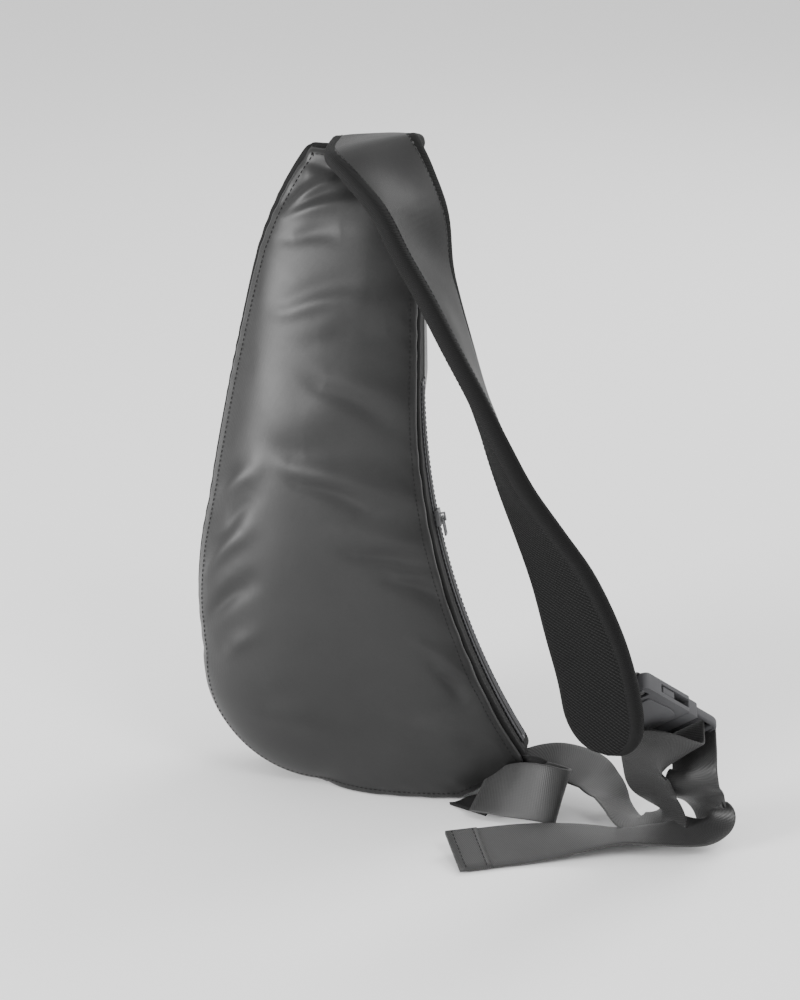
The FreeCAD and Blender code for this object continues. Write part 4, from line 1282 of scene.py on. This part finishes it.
@dataclass(frozen=True)
class CornerCloth:
    """The tapering cloth at the bag's lower corner, which runs out over the webbing's sewn end."""

    at_bag: tuple[Point, Point] = ((46.0, -41.0, 3.0), (99.0, -34.0, 30.0))
    at_webbing: tuple[Point, Point] = ((73.0, -66.0, 7.0), (90.0, -43.0, 33.0))
    crown: float = 3.0
    thick: float = 2.0

    def build(self) -> None:
        """Lay the cloth between the bag's corner and the webbing."""
        steps = np.linspace(0, 1, 17)
        near, far = (
            np.array(ends[0]) + np.outer(steps, np.array(ends[1]) - np.array(ends[0]))
            for ends in (self.at_bag, self.at_webbing)
        )
        out = unit(np.cross(far[-1] - near[0], near[-1] - near[0]))
        out = out if out[1] < 0 else -out
        grid = near[None] * (1 - steps[:, None, None]) + far[None] * steps[:, None, None]
        swell = np.sin(math.pi * steps)[None] ** 0.7 * (1 - 0.6 * steps[:, None]) * self.crown
        crease = 0.5 * np.sin(steps * 21)[None] * (1 - steps[:, None])
        grid = grid + out * (swell + crease + 2.6)[..., None]
        faces = grid_faces(len(steps), len(steps))
        # the corner cloth takes the darker nylon copy, painted shade
        piece = thickened(piece_from("corner_cloth", grid.reshape(-1, 3), faces, SHADED_WALL_NYLON), self.thick, 0)
        settle(turned_out(applied(piece)), SHADED_WALL_NYLON, "bag", "corner_tab")


# ---- the strap -----------------------------------------------------------------------------------


@dataclass
class PaddedStrap:
    """The broad strap: nylon outside, spacer mesh inside, bound all round its edge."""

    buckle: BuckleFrame
    half: float = 30.6
    pad: float = 4.5
    binding: float = 8.5
    mesh_binding: float = 6.0
    cloth_thick: float = 1.4
    crown: float = 1.2
    round_end: float = 36.0
    outer_face: tuple[float, float, float] = (0.13, -0.94, 0.31)
    line: tuple[tuple[Point, float], ...] = (
        ((-9, 10, 444), -30), ((-9, -16, 445.6), -13), ((-4, -32, 444.5), 20), ((7, -45.5, 433.5), 31),
        ((22, -64, 414), 44), ((33, -80, 387), 60), ((44, -90, 365), 70), ((58, -101, 336), 78),
        ((72, -110, 307), 86), ((84, -116, 280), 93), ((97, -120, 252), 99), ((112, -123, 225), 108),
        ((128, -126, 196), 120), ((142, -128, 160), 131), ((151, -128, 130), 134), ((156, -127, 104), 135),
        ((158.5, -126.6, 90), 135), ((160, -126.3, 82), 135),
    )
    middle: Points = field(init=False)
    face: Points = field(init=False)
    across: Points = field(init=False)
    travelled: Points = field(init=False)
    long: float = field(init=False)

    def __post_init__(self) -> None:
        """Work out the strap's middle line, width direction and facing all along it."""
        middles = np.array([p for p, _ in self.line], float)
        turns = np.radians([t for _, t in self.line])
        toward = np.array(self.outer_face)
        ends = np.vstack([middles[:1], middles, middles[-1:]])
        along = unit(ends[2:] - ends[:-2])
        facing = unit(toward - along * (along @ toward)[:, None])
        side = np.cross(facing, along)
        face = facing * np.cos(turns)[:, None] + side * np.sin(turns)[:, None]
        across = np.cross(face, along)
        self.middle = through(middles, 9)
        self.face, self.across = (unit(through(rows, 9)) for rows in (face, across))
        self.travelled = travel(self.middle)
        self.long = self.travelled[-1] + 2

    def read(self, rows: Points, along: Points) -> Points:
        """Read rows that are given along the middle line at other distances along it."""
        return np.stack([np.interp(along, self.travelled, column) for column in rows.T], -1)

    def spot(self, along: Points, across: Points, rise: Points) -> Points:
        """Find points of the strap.

        Args:
            along: Their distances along it, which may run past its middle line's end.
            across: Their distances to one side of the middle.
            rise: Their distances out of it.

        Returns:
            The points.
        """
        past = (along - np.clip(along, self.travelled[0], self.travelled[-1]))[..., None]
        way = unit(self.middle[-1] - self.middle[-4])
        return (
            self.read(self.middle, along) + past * way
            + unit(self.read(self.across, along)) * np.asarray(across)[..., None]
            + unit(self.read(self.face, along)) * np.asarray(rise)[..., None]
        )

    def half_width(self, along: Points, inset: float = 0.0) -> Points:
        """Read half the strap's width, which rounds off at its end.

        Args:
            along: Where it is read.
            inset: How far in from the strap's edge the line runs.

        Returns:
            The half width at each place.
        """
        end, reach, power = self.long - inset, 34.0, 2.3
        into = np.clip((along - (end - reach)) / reach, 0, 1)
        return (self.half - inset) * (1 - into**power) ** (1 / power)

    def sheet(self, name: str, sign: float, crown: float, finish: Finish) -> bpy.types.Object:
        """Make one face of the strap, crowned between its bound edges.

        Args:
            name: The piece's name.
            sign: 1 for the nylon face, -1 for the mesh face.
            crown: How far its middle stands proud.
            finish: Its surface.

        Returns:
            A sheet with a small thickness.
        """
        inset = (self.binding if sign > 0 else self.mesh_binding) - 3
        along = np.linspace(0, self.long - inset - 0.4, 260)
        shares = np.linspace(-1, 1, 25)
        wide = self.half_width(along, inset)[:, None] * shares
        length = np.broadcast_to(along[:, None], wide.shape)
        fold = 0.5 * np.sin(length / 17 + wide / 9) + 0.35 * np.sin(length / 7.3 - wide / 13 + 1)
        fade = (1 - shares**4)[None]
        rise = sign * (self.pad - 0.6 + (crown + 0.5 * fold) * fade)
        points = self.spot(length, wide, rise).reshape(-1, 3)
        cloth = np.stack([length, wide], -1).reshape(-1, 2)
        faces = grid_faces(len(along), len(shares))
        if sign < 0:
            faces = [f[::-1] for f in faces]
        return thickened(piece_from(name, points, faces, finish, cloth), self.cloth_thick)

    def edge_line(self, inset: float) -> tuple[Points, Points]:
        """Draw the strap's outline, or a line inside it.

        Args:
            inset: How far in from the edge the line runs.

        Returns:
            Its points, as distances along and across, and the inward direction at each.
        """
        straight = np.linspace(0, self.long - self.round_end, 90)
        rounded = self.long - self.round_end * np.cos(np.linspace(0, math.pi / 2, 40))[1:]
        along = np.r_[straight, rounded]
        half = self.half_width(along)
        outline = np.vstack([np.c_[along, half], np.c_[along, -half][-2::-1]])
        tangent = unit(np.gradient(outline, axis=0))
        inward = np.c_[tangent[:, 1], -tangent[:, 0]]
        return outline + inward * inset, inward

    def bind(self) -> bpy.types.Object:
        """Fold the binding tape over the edge all round.

        Returns:
            The closed tape.
        """
        outline, inward = self.edge_line(0.0)
        pad = self.pad
        lips = []
        for reach in (self.binding, self.mesh_binding):
            lip = [(reach, pad - 0.3), (reach, pad + 0.7), (reach - 0.9, pad + 1.1), (3.2, pad + 1.0)]
            lips.append([*lip, (1.2, pad + 0.1), (0.0, pad - 1.6), (-0.5, pad - 3.4)])
        profile = lips[0] + [(a, -b) for a, b in lips[1][::-1]] + [(3.4, 2.2 - pad), (3.4, pad - 2.2)]
        section = np.array(profile)
        along = outline[:, None, 0] + inward[:, None, 0] * section[None, :, 0]
        across = outline[:, None, 1] + inward[:, None, 1] * section[None, :, 0]
        points = self.spot(along, across, np.broadcast_to(section[None, :, 1], along.shape)).reshape(-1, 3)
        cloth = cloth_spots(travel(outline), travel(section))
        faces = tube_faces(len(outline), len(section))
        return turned_out(piece_from("strap_edge_binding", points, faces, EDGE_BINDING, cloth))

    def stitch(self, stitches: Repeated) -> None:
        """Sew the binding's lip down on both faces.

        Args:
            stitches: The stitch to repeat.
        """
        rows = []
        for sign, reach in ((1, self.binding), (-1, self.mesh_binding)):
            outline, _ = self.edge_line(reach - 1.4)
            line = self.spot(outline[:, 0], outline[:, 1], np.full(len(outline), sign * (self.pad + 1.1)))
            rows.append((line, sign * self.read(self.face, outline[:, 0])))
        settle(stitches.along("strap_edge_stitches", rows, 3.4, 2.5, 0.55), THREAD, "bag")

    def end_loop(self) -> None:
        """Lay the webbing from the strap's end round the buckle's bar and back."""
        start = self.travelled[-1] - 58
        rise = self.pad + 1.6
        on_strap = [self.spot(np.array(start + k), np.array(0.0), np.array(rise)) for k in (0, 16, 32)]
        side = self.spot(np.array(start), np.array(1.0), np.array(rise)) - on_strap[0]
        round_bar = ((-4, 6.2), (3, 7.6), (6.2, 4), (6.2, -4), (3, -7.6), (-6, -6.5))
        bar = [self.buckle.spot(along, 0, depth) for along, depth in round_bar]
        line = smooth_line("strap_end_line", np.array([*on_strap, *bar]), 8)
        width_at_bar = self.buckle.axes()[1]
        across = np.array([side] * 3 + [width_at_bar] * len(bar))
        if (side @ width_at_bar) < 0:
            across[:3] *= -1
        turned = smooth_line("strap_end_across", across, 8)
        webbing = Ribbon().sweep("strap_end_webbing_loop", line, turned)
        settle(webbing, BELT_WEBBING, "bag", "strap_end_webbing")

    def build(self, stitches: Repeated) -> None:
        """Make the strap's faces, its binding, its stitches and the webbing at its end.

        Args:
            stitches: The stitch to repeat along the binding.
        """
        # the strap's nylon face takes the darker nylon copy, painted shade
        cover = self.sheet("strap_nylon_face", 1, self.crown, SHADED_STRAP_NYLON)
        settle(cover, SHADED_STRAP_NYLON, "bag", "strap_outer", "strap_foam")
        lining = self.sheet("strap_mesh_face", -1, self.crown, SPACER_MESH)
        settle(lining, SPACER_MESH, "bag", "strap_mesh")
        settle(self.bind(), EDGE_BINDING, "bag", "strap_binding")
        self.stitch(stitches)
        self.end_loop()


# ---- zips ------------------------------------------------------------------------------------------


@dataclass(frozen=True)
class ZipRun:
    """What every zip repeats: closed tapes, teeth along the middle, and a seam along each tape.

    Its lines are read at a distance to one side of the middle and a height over it.
    """

    name: str
    at: Callable[[float, float], Points]
    travelled: Points
    outward: Points
    pitch: float = 1.25
    tooth: float = 3.0
    tooth_thick: float = 1.0
    slant: float = math.pi / 2 - 0.2

    def tape(
        self, name: str, sign: float, profile: Sequence[tuple[float, float]], thick: float
    ) -> bpy.types.Object:
        """Lay one tape.

        Args:
            name: The piece's name.
            sign: Which side of the middle it lies on, 1 or -1.
            profile: Its upper face, as distances from the middle and heights.
            thick: Its thickness.

        Returns:
            The closed tape.
        """
        around = [*profile, *((off, rise - thick) for off, rise in profile[::-1])]
        points = np.stack([self.at(sign * off, rise) for off, rise in around], 1)
        cloth = cloth_spots(self.travelled, np.array([off for off, _ in around]))
        faces = tube_faces(len(points), len(around))
        return turned_out(piece_from(name, points.reshape(-1, 3), faces, ZIP_TAPE, cloth))

    def set_teeth(self, teeth: Repeated, *nodes: str) -> None:
        """Set the coil's teeth across the middle.

        Args:
            teeth: The tooth to repeat.
            *nodes: The nodes that they stand for.
        """
        middle = [(self.at(0, 0.2), self.outward)]
        coil = teeth.along(self.name + "_teeth", middle, self.pitch, self.tooth, self.tooth_thick, self.slant)
        settle(coil, ZIP_COIL, "bag", *nodes)

    def sew(self, stitches: Repeated, off: float, rise: float) -> None:
        """Sew a seam beside each tape.

        Args:
            stitches: The stitch to repeat.
            off: The seams' distance from the middle.
            rise: Their height.
        """
        seams = [(self.at(sign * off, rise), self.outward) for sign in (-1, 1)]
        settle(stitches.along(self.name + "_stitches", seams, 3.4, 2.5, 0.5), THREAD, "bag")


@dataclass
class MainZip:
    """The long zip let into the side wall, on the inner curve of the teardrop."""

    shell: BagShell
    tape: float = 6.0
    tape_thick: float = 0.9
    cord_off: float = 0.75
    margin: float = 10.0

    def build(self, teeth: Repeated, stitches: Repeated) -> None:
        """Lay the tapes along the arc, set the coil's teeth and cords, and stitch both edges.

        Args:
            teeth: The tooth to repeat.
            stitches: The stitch to repeat.
        """
        arc = arc_through(*self.shell.zip_corners(), 200)
        long = np.linalg.norm(np.diff(arc, axis=0), axis=1).sum()
        arc = evenly(arc, np.linspace(self.margin / long, 1 - self.margin / long, 160))
        tangent = unit(np.gradient(arc, axis=0))
        out = np.c_[-tangent[:, 1], tangent[:, 0]]
        if out[:, 0].mean() < 0:
            out = -out
        outward = np.c_[out[:, 0], np.zeros(len(out)), out[:, 1]]

        def line(off: float, rise: float) -> Points:
            """Move the arc along the bag's depth and out of the wall."""
            depth = np.full(len(arc), -self.shell.zip_setback + off)
            return np.c_[arc[:, 0], depth, arc[:, 1]] + outward * rise

        run = ZipRun("main_zip", line, travel(arc), outward)
        profile = [(0.2, -0.3), (1.4, -0.1), (self.tape * 0.75, -0.1), (self.tape + 1.5, 0.3)]
        for side, sign in (("back", -1), ("front", 1)):
            node = "main_zip_tape_" + side
            settle(run.tape(node + "_cloth", sign, profile, self.tape_thick), ZIP_TAPE, "bag", node)
        run.set_teeth(teeth, "main_zip_coil_back", "main_zip_coil_front")
        cords = [(line(sign * self.cord_off, 0.1), outward) for sign in (-1, 1)]
        settle(teeth.along("main_zip_coil_cords", cords, run.pitch, 1.5, 0.8), ZIP_COIL, "bag")
        run.sew(stitches, self.tape + 2.2, 0.35)


@dataclass
class FrontPocket:
    """A pocket standing off the front panel, with a zip across near its top."""

    shell: BagShell
    name: str
    low: float
    tall: float
    stands: float
    shift: float
    zip_from: float
    zip_to: float
    margin: float = 12.0
    corner: float = 16.0
    zip_drop: float = 22.0
    zip_clear: float = 9.0
    puff: float = 2.2
    cloth_thick: float = 1.6
    tape: tuple[tuple[float, float], ...] = ((0.2, -0.3), (1.4, -0.1), (4.6, -0.1), (7.5, 0.2))
    rows: int = 46
    columns: int = 44

    def face_depth(self, heights: Points) -> Points:
        """Depth of the bag's front face at given heights."""
        return self.shell.profile(self.shell.front, heights)

    def sides(self) -> tuple[Points, Points, Points]:
        """Work out the pocket's outline from the bag's, with its corners rounded.

        Returns:
            Its heights, and how far across its left and right edges lie at each.
        """
        z = self.low + self.tall * (0.5 - 0.5 * np.cos(np.linspace(0, math.pi, self.rows + 1)))
        edges = []
        for steps, sign in ((self.shell.left, 1), (self.shell.right, -1)):
            line = self.shell.side_line(steps, self.shell.width)
            normal = unit(np.gradient(line, axis=0))
            inner = line + sign * self.margin * np.c_[normal[:, 1], -normal[:, 0]]
            order = np.argsort(inner[:, 1])
            tuck = 0.0 if sign > 0 else self.shell.tuck(z)
            edges.append(np.interp(z, inner[order, 1], inner[order, 0]) + self.shift - tuck)
        end = np.minimum(z - self.low, self.low + self.tall - z)
        trim = self.corner - np.sqrt(np.maximum(self.corner**2 - np.maximum(self.corner - end, 0) ** 2, 0))
        return z, edges[0] + trim, edges[1] - trim

    def cloth(self, z: Points, left: Points, right: Points, zip_height: float) -> None:
        """Make the pocket's cloth.

        Args:
            z: Its heights.
            left: Its left edge at each.
            right: Its right edge at each.
            zip_height: Where its zip lies.
        """
        share = 0.5 - 0.5 * np.cos(np.linspace(0, math.pi, self.columns + 1))
        x = left[:, None] * (1 - share) + right[:, None] * share
        height = np.broadcast_to(z[:, None], x.shape)
        flat = np.stack([x, height], -1).reshape(-1, 2)
        ring = np.vstack([np.c_[left, z], np.c_[right, z][::-1], np.c_[left, z][:1]])
        away = distance_to(flat, ring)
        near = 1 - np.minimum(away / (self.stands * 1.4), 1)
        edge = away < 0.01
        side = self.shell.side_line(self.shell.right, self.shell.width)
        overhang = edge & (flat[:, 0] > np.interp(flat[:, 1], side[:, 1], side[:, 0]) - 10)
        rise = self.stands * np.sqrt(np.maximum(1 - near**2.4, 0)) - 12.0 * edge - 24.0 * overhang
        calm = np.clip((np.abs(flat[:, 1] - zip_height) - self.zip_clear) / 15, 0, 1) ** 1.5
        puff = np.clip((away - 6) / 40, 0, 1) * calm
        billow = np.sin(flat[:, 0] / 13 + flat[:, 1] / 19) * np.sin(flat[:, 1] / 11)
        swell = self.puff * puff + 0.5 * puff * billow
        pucker = 0.3 * np.sin((flat[:, 0] + flat[:, 1]) / 1.9) * np.exp(-away / 5) * calm
        depth = self.face_depth(flat[:, 1]) + rise + swell + pucker - 0.4 * (1 - calm)
        points = np.c_[flat[:, 0], depth, flat[:, 1]]
        faces = [f[::-1] for f in grid_faces(self.rows + 1, self.columns + 1)]
        sheet = piece_from(self.name + "_pocket_cloth", points, faces, SHELL_NYLON)
        cloth = thickened(sheet, self.cloth_thick)
        smooth = cloth.modifiers.new("rounded", "SUBSURF")
        smooth.levels = smooth.render_levels = 1
        settle(cloth, SHELL_NYLON, "bag", self.name + "_pocket")

    def build(self, teeth: Repeated, stitches: Repeated) -> None:
        """Make the pocket's cloth, its zip and its stitches.

        Args:
            teeth: The tooth to repeat.
            stitches: The stitch to repeat.
        """
        z, left, right = self.sides()
        zip_height = self.low + self.tall - self.zip_drop
        self.cloth(z, left, right, zip_height)
        reach = self.stands * 1.4
        inside = [np.interp(zip_height, z, side) for side in (left + reach * 0.7, right - reach * 0.7)]
        start = max(self.zip_from * self.shell.width, inside[0])
        stop = min(self.zip_to * self.shell.width, inside[1])
        places = np.linspace(start, stop, 60)

        def across(off: float, lift: float) -> Points:
            """Draw a line over the pocket, beside the zip."""
            heights = np.full(len(places), zip_height + off)
            return np.c_[places, self.face_depth(heights) + self.stands + lift, heights]

        run = ZipRun(self.name + "_zip", across, places, np.array([0.0, 1.0, 0.05]))
        for side, sign in (("upper", 1), ("lower", -1)):
            tape = run.tape("%s_zip_tape_%s" % (self.name, side), sign, list(self.tape), 1.0)
            settle(tape, ZIP_TAPE, "bag", *((self.name + "_zip_tapes",) if sign > 0 else ()))
        run.set_teeth(teeth, self.name + "_zip_coils")
        run.sew(stitches, self.tape[-1][0] + 0.8, 0.25)


# ---- hard pieces -------------------------------------------------------------------------------------


@dataclass(frozen=True)
class Softened:
    """A hard piece with its edges rounded over, as it comes out of its mould."""

    node: str
    body: str
    finish: Finish
    round_over: float

    def build(self, nodes: dict[str, bpy.types.Object]) -> bpy.types.Object:
        """Copy the node's shape, join its faces and round its edges.

        Args:
            nodes: The frame's nodes by name.

        Returns:
            The rounded piece.
        """
        mesh = nodes[self.node].data.copy()
        work = bmesh.new()
        work.from_mesh(mesh)
        bmesh.ops.remove_doubles(work, verts=work.verts, dist=0.01 * MM)
        bmesh.ops.dissolve_limit(work, angle_limit=math.radians(1.5), verts=work.verts, edges=work.edges)
        work.to_mesh(mesh)
        work.free()
        for name in [layer.name for layer in mesh.uv_layers]:
            mesh.uv_layers.remove(mesh.uv_layers[name])
        mesh.materials.clear()
        mesh.materials.append(self.finish.material())
        mesh.polygons.foreach_set("use_smooth", [True] * len(mesh.polygons))
        made = into_scene(self.node + "_moulded", mesh)
        bevel = made.modifiers.new("round_over", "BEVEL")
        bevel.width = self.round_over * MM
        bevel.segments = 3
        bevel.limit_method = "ANGLE"
        bevel.angle_limit = math.radians(35)
        bevel.harden_normals = True
        return settle(applied(made), self.finish, self.body, self.node)


@dataclass(frozen=True)
class BuckleMouldings:
    """The rounded mouldings of the side-release buckle, in the buckle's own frame."""

    buckle: BuckleFrame
    shoulder: float = 42.5
    rails: float = 51.0
    end: float = 78.6
    half: float = 24.0

    @staticmethod
    def rounded(corners: Sequence[Point], radii: Sequence[float], steps: int = 8) -> Points:
        """Draw a closed outline with rounded corners.

        Args:
            corners: Its corners, in order.
            radii: How far each corner is rounded off.
            steps: The points at each corner.

        Returns:
            The outline's points.
        """
        spots = np.array(corners, float)
        points = []
        for before, here, after, radius in zip(np.roll(spots, 1, 0), spots, np.roll(spots, -1, 0), radii):
            back, ahead = unit(before - here), unit(after - here)
            t = np.linspace(0, 1, steps)[:, None]
            start, stop = here + back * radius, here + ahead * radius
            points.append((1 - t) ** 2 * start + 2 * t * (1 - t) * here + t**2 * stop)
        return np.vstack(points)

    def slab(
        self, outer: Points, low: float, high: float, inner: Optional[Points] = None, round_over: float = 0.8
    ) -> tuple[Points, list[tuple[int, ...]]]:
        """Shape a flat moulding with rounded rims, solid or with one opening.

        Args:
            outer: Its outline.
            low: Its lower face, through the buckle.
            high: Its upper face.
            inner: The opening's outline, with as many points as the outer.
            round_over: How much its rims are rounded.

        Returns:
            Its vertices, in the bag's frame, and its faces.
        """
        r = round_over
        levels = [(r, low), (0.3 * r, low + 0.3 * r), (0.0, low + r)]
        levels += [(0.0, high - r), (0.3 * r, high - 0.3 * r), (r, high)]

        def loops(outline: Points, sign: float) -> list[Points]:
            """Draw an outline at each level, drawn in towards the moulding's own material.

            Args:
                outline: The outline.
                sign: 1 for the outside, -1 for the opening.

            Returns:
                One loop of points for each level.
            """
            tangent = unit(np.roll(outline, -1, 0) - np.roll(outline, 1, 0))
            inward = np.c_[tangent[:, 1], -tangent[:, 0]]
            if ((outline.mean(0) - outline) * inward).sum() < 0:
                inward = -inward
            return [
                np.c_[outline + inward * sign * draw, np.full(len(outline), level)] for draw, level in levels
            ]

        rings = loops(outer, 1)
        if inner is not None:
            rings += loops(inner, -1)[::-1]
        count = len(outer)
        if inner is None:
            faces = tube_faces(len(rings), count)
        else:
            last = (len(rings) - 1) * count
            faces = grid_faces(len(rings), count, ring=True)
            faces += [(k, (k + 1) % count, last + (k + 1) % count, last + k) for k in range(count)]
        return np.array([self.buckle.spot(*point) for point in np.vstack(rings)]), faces

    def join(self, name: str, body: str, node: str, slabs: Sequence[tuple[Points, list]]) -> bpy.types.Object:
        """Join mouldings into one piece.

        Args:
            name: The piece's name.
            body: The body it moves with.
            node: The node it stands for, or nothing.
            slabs: The mouldings' vertices and faces.

        Returns:
            The piece.
        """
        points, faces = [], []
        for own, own_faces in slabs:
            start = sum(len(p) for p in points)
            points.append(own)
            faces += [tuple(start + k for k in face) for face in own_faces]
        piece = turned_out(piece_from(name, np.vstack(points), faces, BUCKLE_PLASTIC))
        edges = piece.modifiers.new("flats", "EDGE_SPLIT")
        edges.split_angle = math.radians(50)
        return settle(applied(piece), BUCKLE_PLASTIC, body, *((node,) if node else ()))

    def build(self) -> None:
        """Make the plug's rounded frame and bars, and the socket's raised face."""
        first, far, half = self.rails, self.end, self.half
        outer = self.rounded(
            [(first - 0.5, -half), (far - 6, -half), (far, -half + 12),
             (far, half - 12), (far - 6, half), (first - 0.5, half)],
            (1.0, 7.0, 5.0, 5.0, 7.0, 1.0),
        )
        inner = self.rounded(
            [(first + 4.5, -half + 4), (far - 6.5, -half + 4), (far - 4, -half + 12),
             (far - 4, half - 12), (far - 6.5, half - 4), (first + 4.5, half - 4)],
            (1.5, 3.0, 3.0, 3.0, 3.0, 1.5),
        )
        shoulder = self.rounded(
            [(self.shoulder, -half), (first + 1, -half), (first + 1, half), (self.shoulder, half)],
            (1.0, 2.5, 2.5, 1.0),
        )
        guide = self.rounded([(22.5, -2), (43, -2), (43, 2), (22.5, 2)], (0.8, 0.3, 0.3, 0.8))
        slabs = [self.slab(outer, -2.6, 2.6, inner), self.slab(shoulder, -5.5, 5.5)]
        slabs.append(self.slab(guide, -2, 2, None, 0.4))
        for start in (56.5, 69.7):
            bar = self.rounded([(start, -21), (start + 4, -21), (start + 4, 21), (start, 21)], (0.6,) * 4)
            slabs.append(self.slab(bar, -1.8, 1.8, None, 0.9))
        knob = self.rounded([(far - 4.6, 15), (far + 1.4, 15), (far + 1.4, 22), (far - 4.6, 22)], (3.0,) * 4)
        slabs.append(self.slab(knob, -4.2, 4.2, None, 1.4))
        self.join("buckle_plug_moulded", "plug", "buckle_plug", slabs)
        plaque = self.rounded(
            [(11, -17), (33, -19.5), (40, -14), (40, 14), (33, 19.5), (11, 17)],
            (3.0, 5.0, 4.0, 4.0, 5.0, 3.0),
        )
        brow = self.rounded([(0.6, -21), (3.4, -21), (3.4, 21), (0.6, 21)], (1.2,) * 4)
        raised = [self.slab(plaque, side * 6.5 - 0.7, side * 6.5 + 0.7, None, 0.6) for side in (-1, 1)]
        raised += [self.slab(brow, side * 6.3 - 0.6, side * 6.3 + 0.6, None, 0.5) for side in (-1, 1)]
        self.join("buckle_socket_raised", "bag", "", raised)


# ---- studio --------------------------------------------------------------------------------------


@dataclass
class Studio:
    """A pale floor, soft lights and the camera."""

    azimuth: float = 8.0
    elevation: float = 18.0
    distance: float = 1875.0
    target: tuple[float, float, float] = (7.0, 0.0, 203.0)
    lens: float = 100.0
    lit: tuple[float, float, float] = (0.0, 0.0, 0.2)
    reach: float = 6.0

    def camera(self) -> None:
        """Set the camera at its angle."""
        a, e = math.radians(self.azimuth), math.radians(self.elevation)
        away = Vector((math.sin(a) * math.cos(e), -math.cos(a) * math.cos(e), math.sin(e)))
        data = bpy.data.cameras.new("camera")
        data.lens, data.sensor_width = self.lens, 36.0
        data.clip_end = 20.0
        camera = into_scene("camera", data)
        camera.location = (Vector(self.target) + away * self.distance) * MM
        camera.rotation_euler = away.to_track_quat("Z", "Y").to_euler()
        bpy.context.scene.camera = camera

    def light(self, name: str, spot: Point, size: float, power: float) -> None:
        """Add a square soft light that faces the bag.

        Args:
            name: The light's name.
            spot: Where it hangs, in metres.
            size: Its side, in metres.
            power: Its power, in watts.
        """
        data = bpy.data.lights.new(name, "AREA")
        data.size, data.energy = size, power
        lamp = into_scene(name, data)
        lamp.location = spot
        lamp.rotation_euler = (Vector(spot) - Vector(self.lit)).to_track_quat("Z", "Y").to_euler()

    def build(self) -> None:
        """Lay the floor, hang the lights and set the room's own brightness."""
        floor = bpy.data.meshes.new("floor")
        signs = ((-1, -1), (1, -1), (1, 1), (-1, 1))
        floor.from_pydata([(x * self.reach, y * self.reach, 0) for x, y in signs], [], [(0, 1, 2, 3)])
        pale = bpy.data.materials.new("pale_floor")
        pale.use_nodes = True
        shader = pale.node_tree.nodes["Principled BSDF"]
        shader.inputs["Base Color"].default_value = (0.9, 0.9, 0.9, 1)
        shader.inputs["Roughness"].default_value = 0.9
        floor.materials.append(pale)
        into_scene("floor", floor)
        world = bpy.data.worlds.new("room")
        bpy.context.scene.world = world
        world.use_nodes = True
        room = world.node_tree.nodes["Background"]
        room.inputs["Color"].default_value = (1, 1, 1, 1)
        room.inputs["Strength"].default_value = 1.15
        self.light("key", (-1.6, -1.35, 0.6), 0.8, 72)
        self.light("side", (1.2, -1.6, 2.0), 0.8, 22)
        self.light("rim", (0.9, 1.7, 1.9), 1.2, 35)


def main() -> None:
    """Build the studio, then the bag, piece by piece."""
    logging.basicConfig(level=logging.INFO, format="%(name)s: %(message)s")
    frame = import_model()
    studio = Studio()
    studio.camera()
    buckle = BuckleFrame()
    stitches, teeth = Repeated("stitch_row", THREAD), Repeated("zip_teeth", ZIP_COIL)
    WaistWebbing(buckle).build(stitches)
    shell = BagShell()
    shell.build(stitches)
    CornerCloth().build()
    PaddedStrap(buckle).build(stitches)
    MainZip(shell).build(teeth, stitches)
    FrontPocket(shell, "lower", 42, 160, 9, 0, -0.42, 0.07).build(teeth, stitches)
    FrontPocket(shell, "upper", 222, 168, 13, 16, -0.30, 0.09).build(teeth, stitches)
    for piece in (
        Softened("buckle_socket", "bag", BUCKLE_PLASTIC, 1.6),
        Softened("plug_prong_left", "prong_left", BUCKLE_PLASTIC, 0.8),
        Softened("plug_prong_right", "prong_right", BUCKLE_PLASTIC, 0.8),
        Softened("main_zip_stops", "bag", ZIP_METAL, 0.3),
        Softened("main_zip_slider", "main_slider", ZIP_METAL, 0.35),
        Softened("main_zip_pull", "main_pull", ZIP_METAL, 0.3),
        Softened("lower_zip_slider", "lower_slider", ZIP_METAL, 0.35),
        Softened("lower_zip_pull", "lower_pull", ZIP_METAL, 0.3),
        Softened("upper_zip_slider", "upper_slider", ZIP_METAL, 0.35),
        Softened("upper_zip_pull", "upper_pull", ZIP_METAL, 0.3),
    ):
        piece.build(frame["nodes"])
    BuckleMouldings(buckle).build()
    studio.build()


if __name__ == "__main__":
    main()
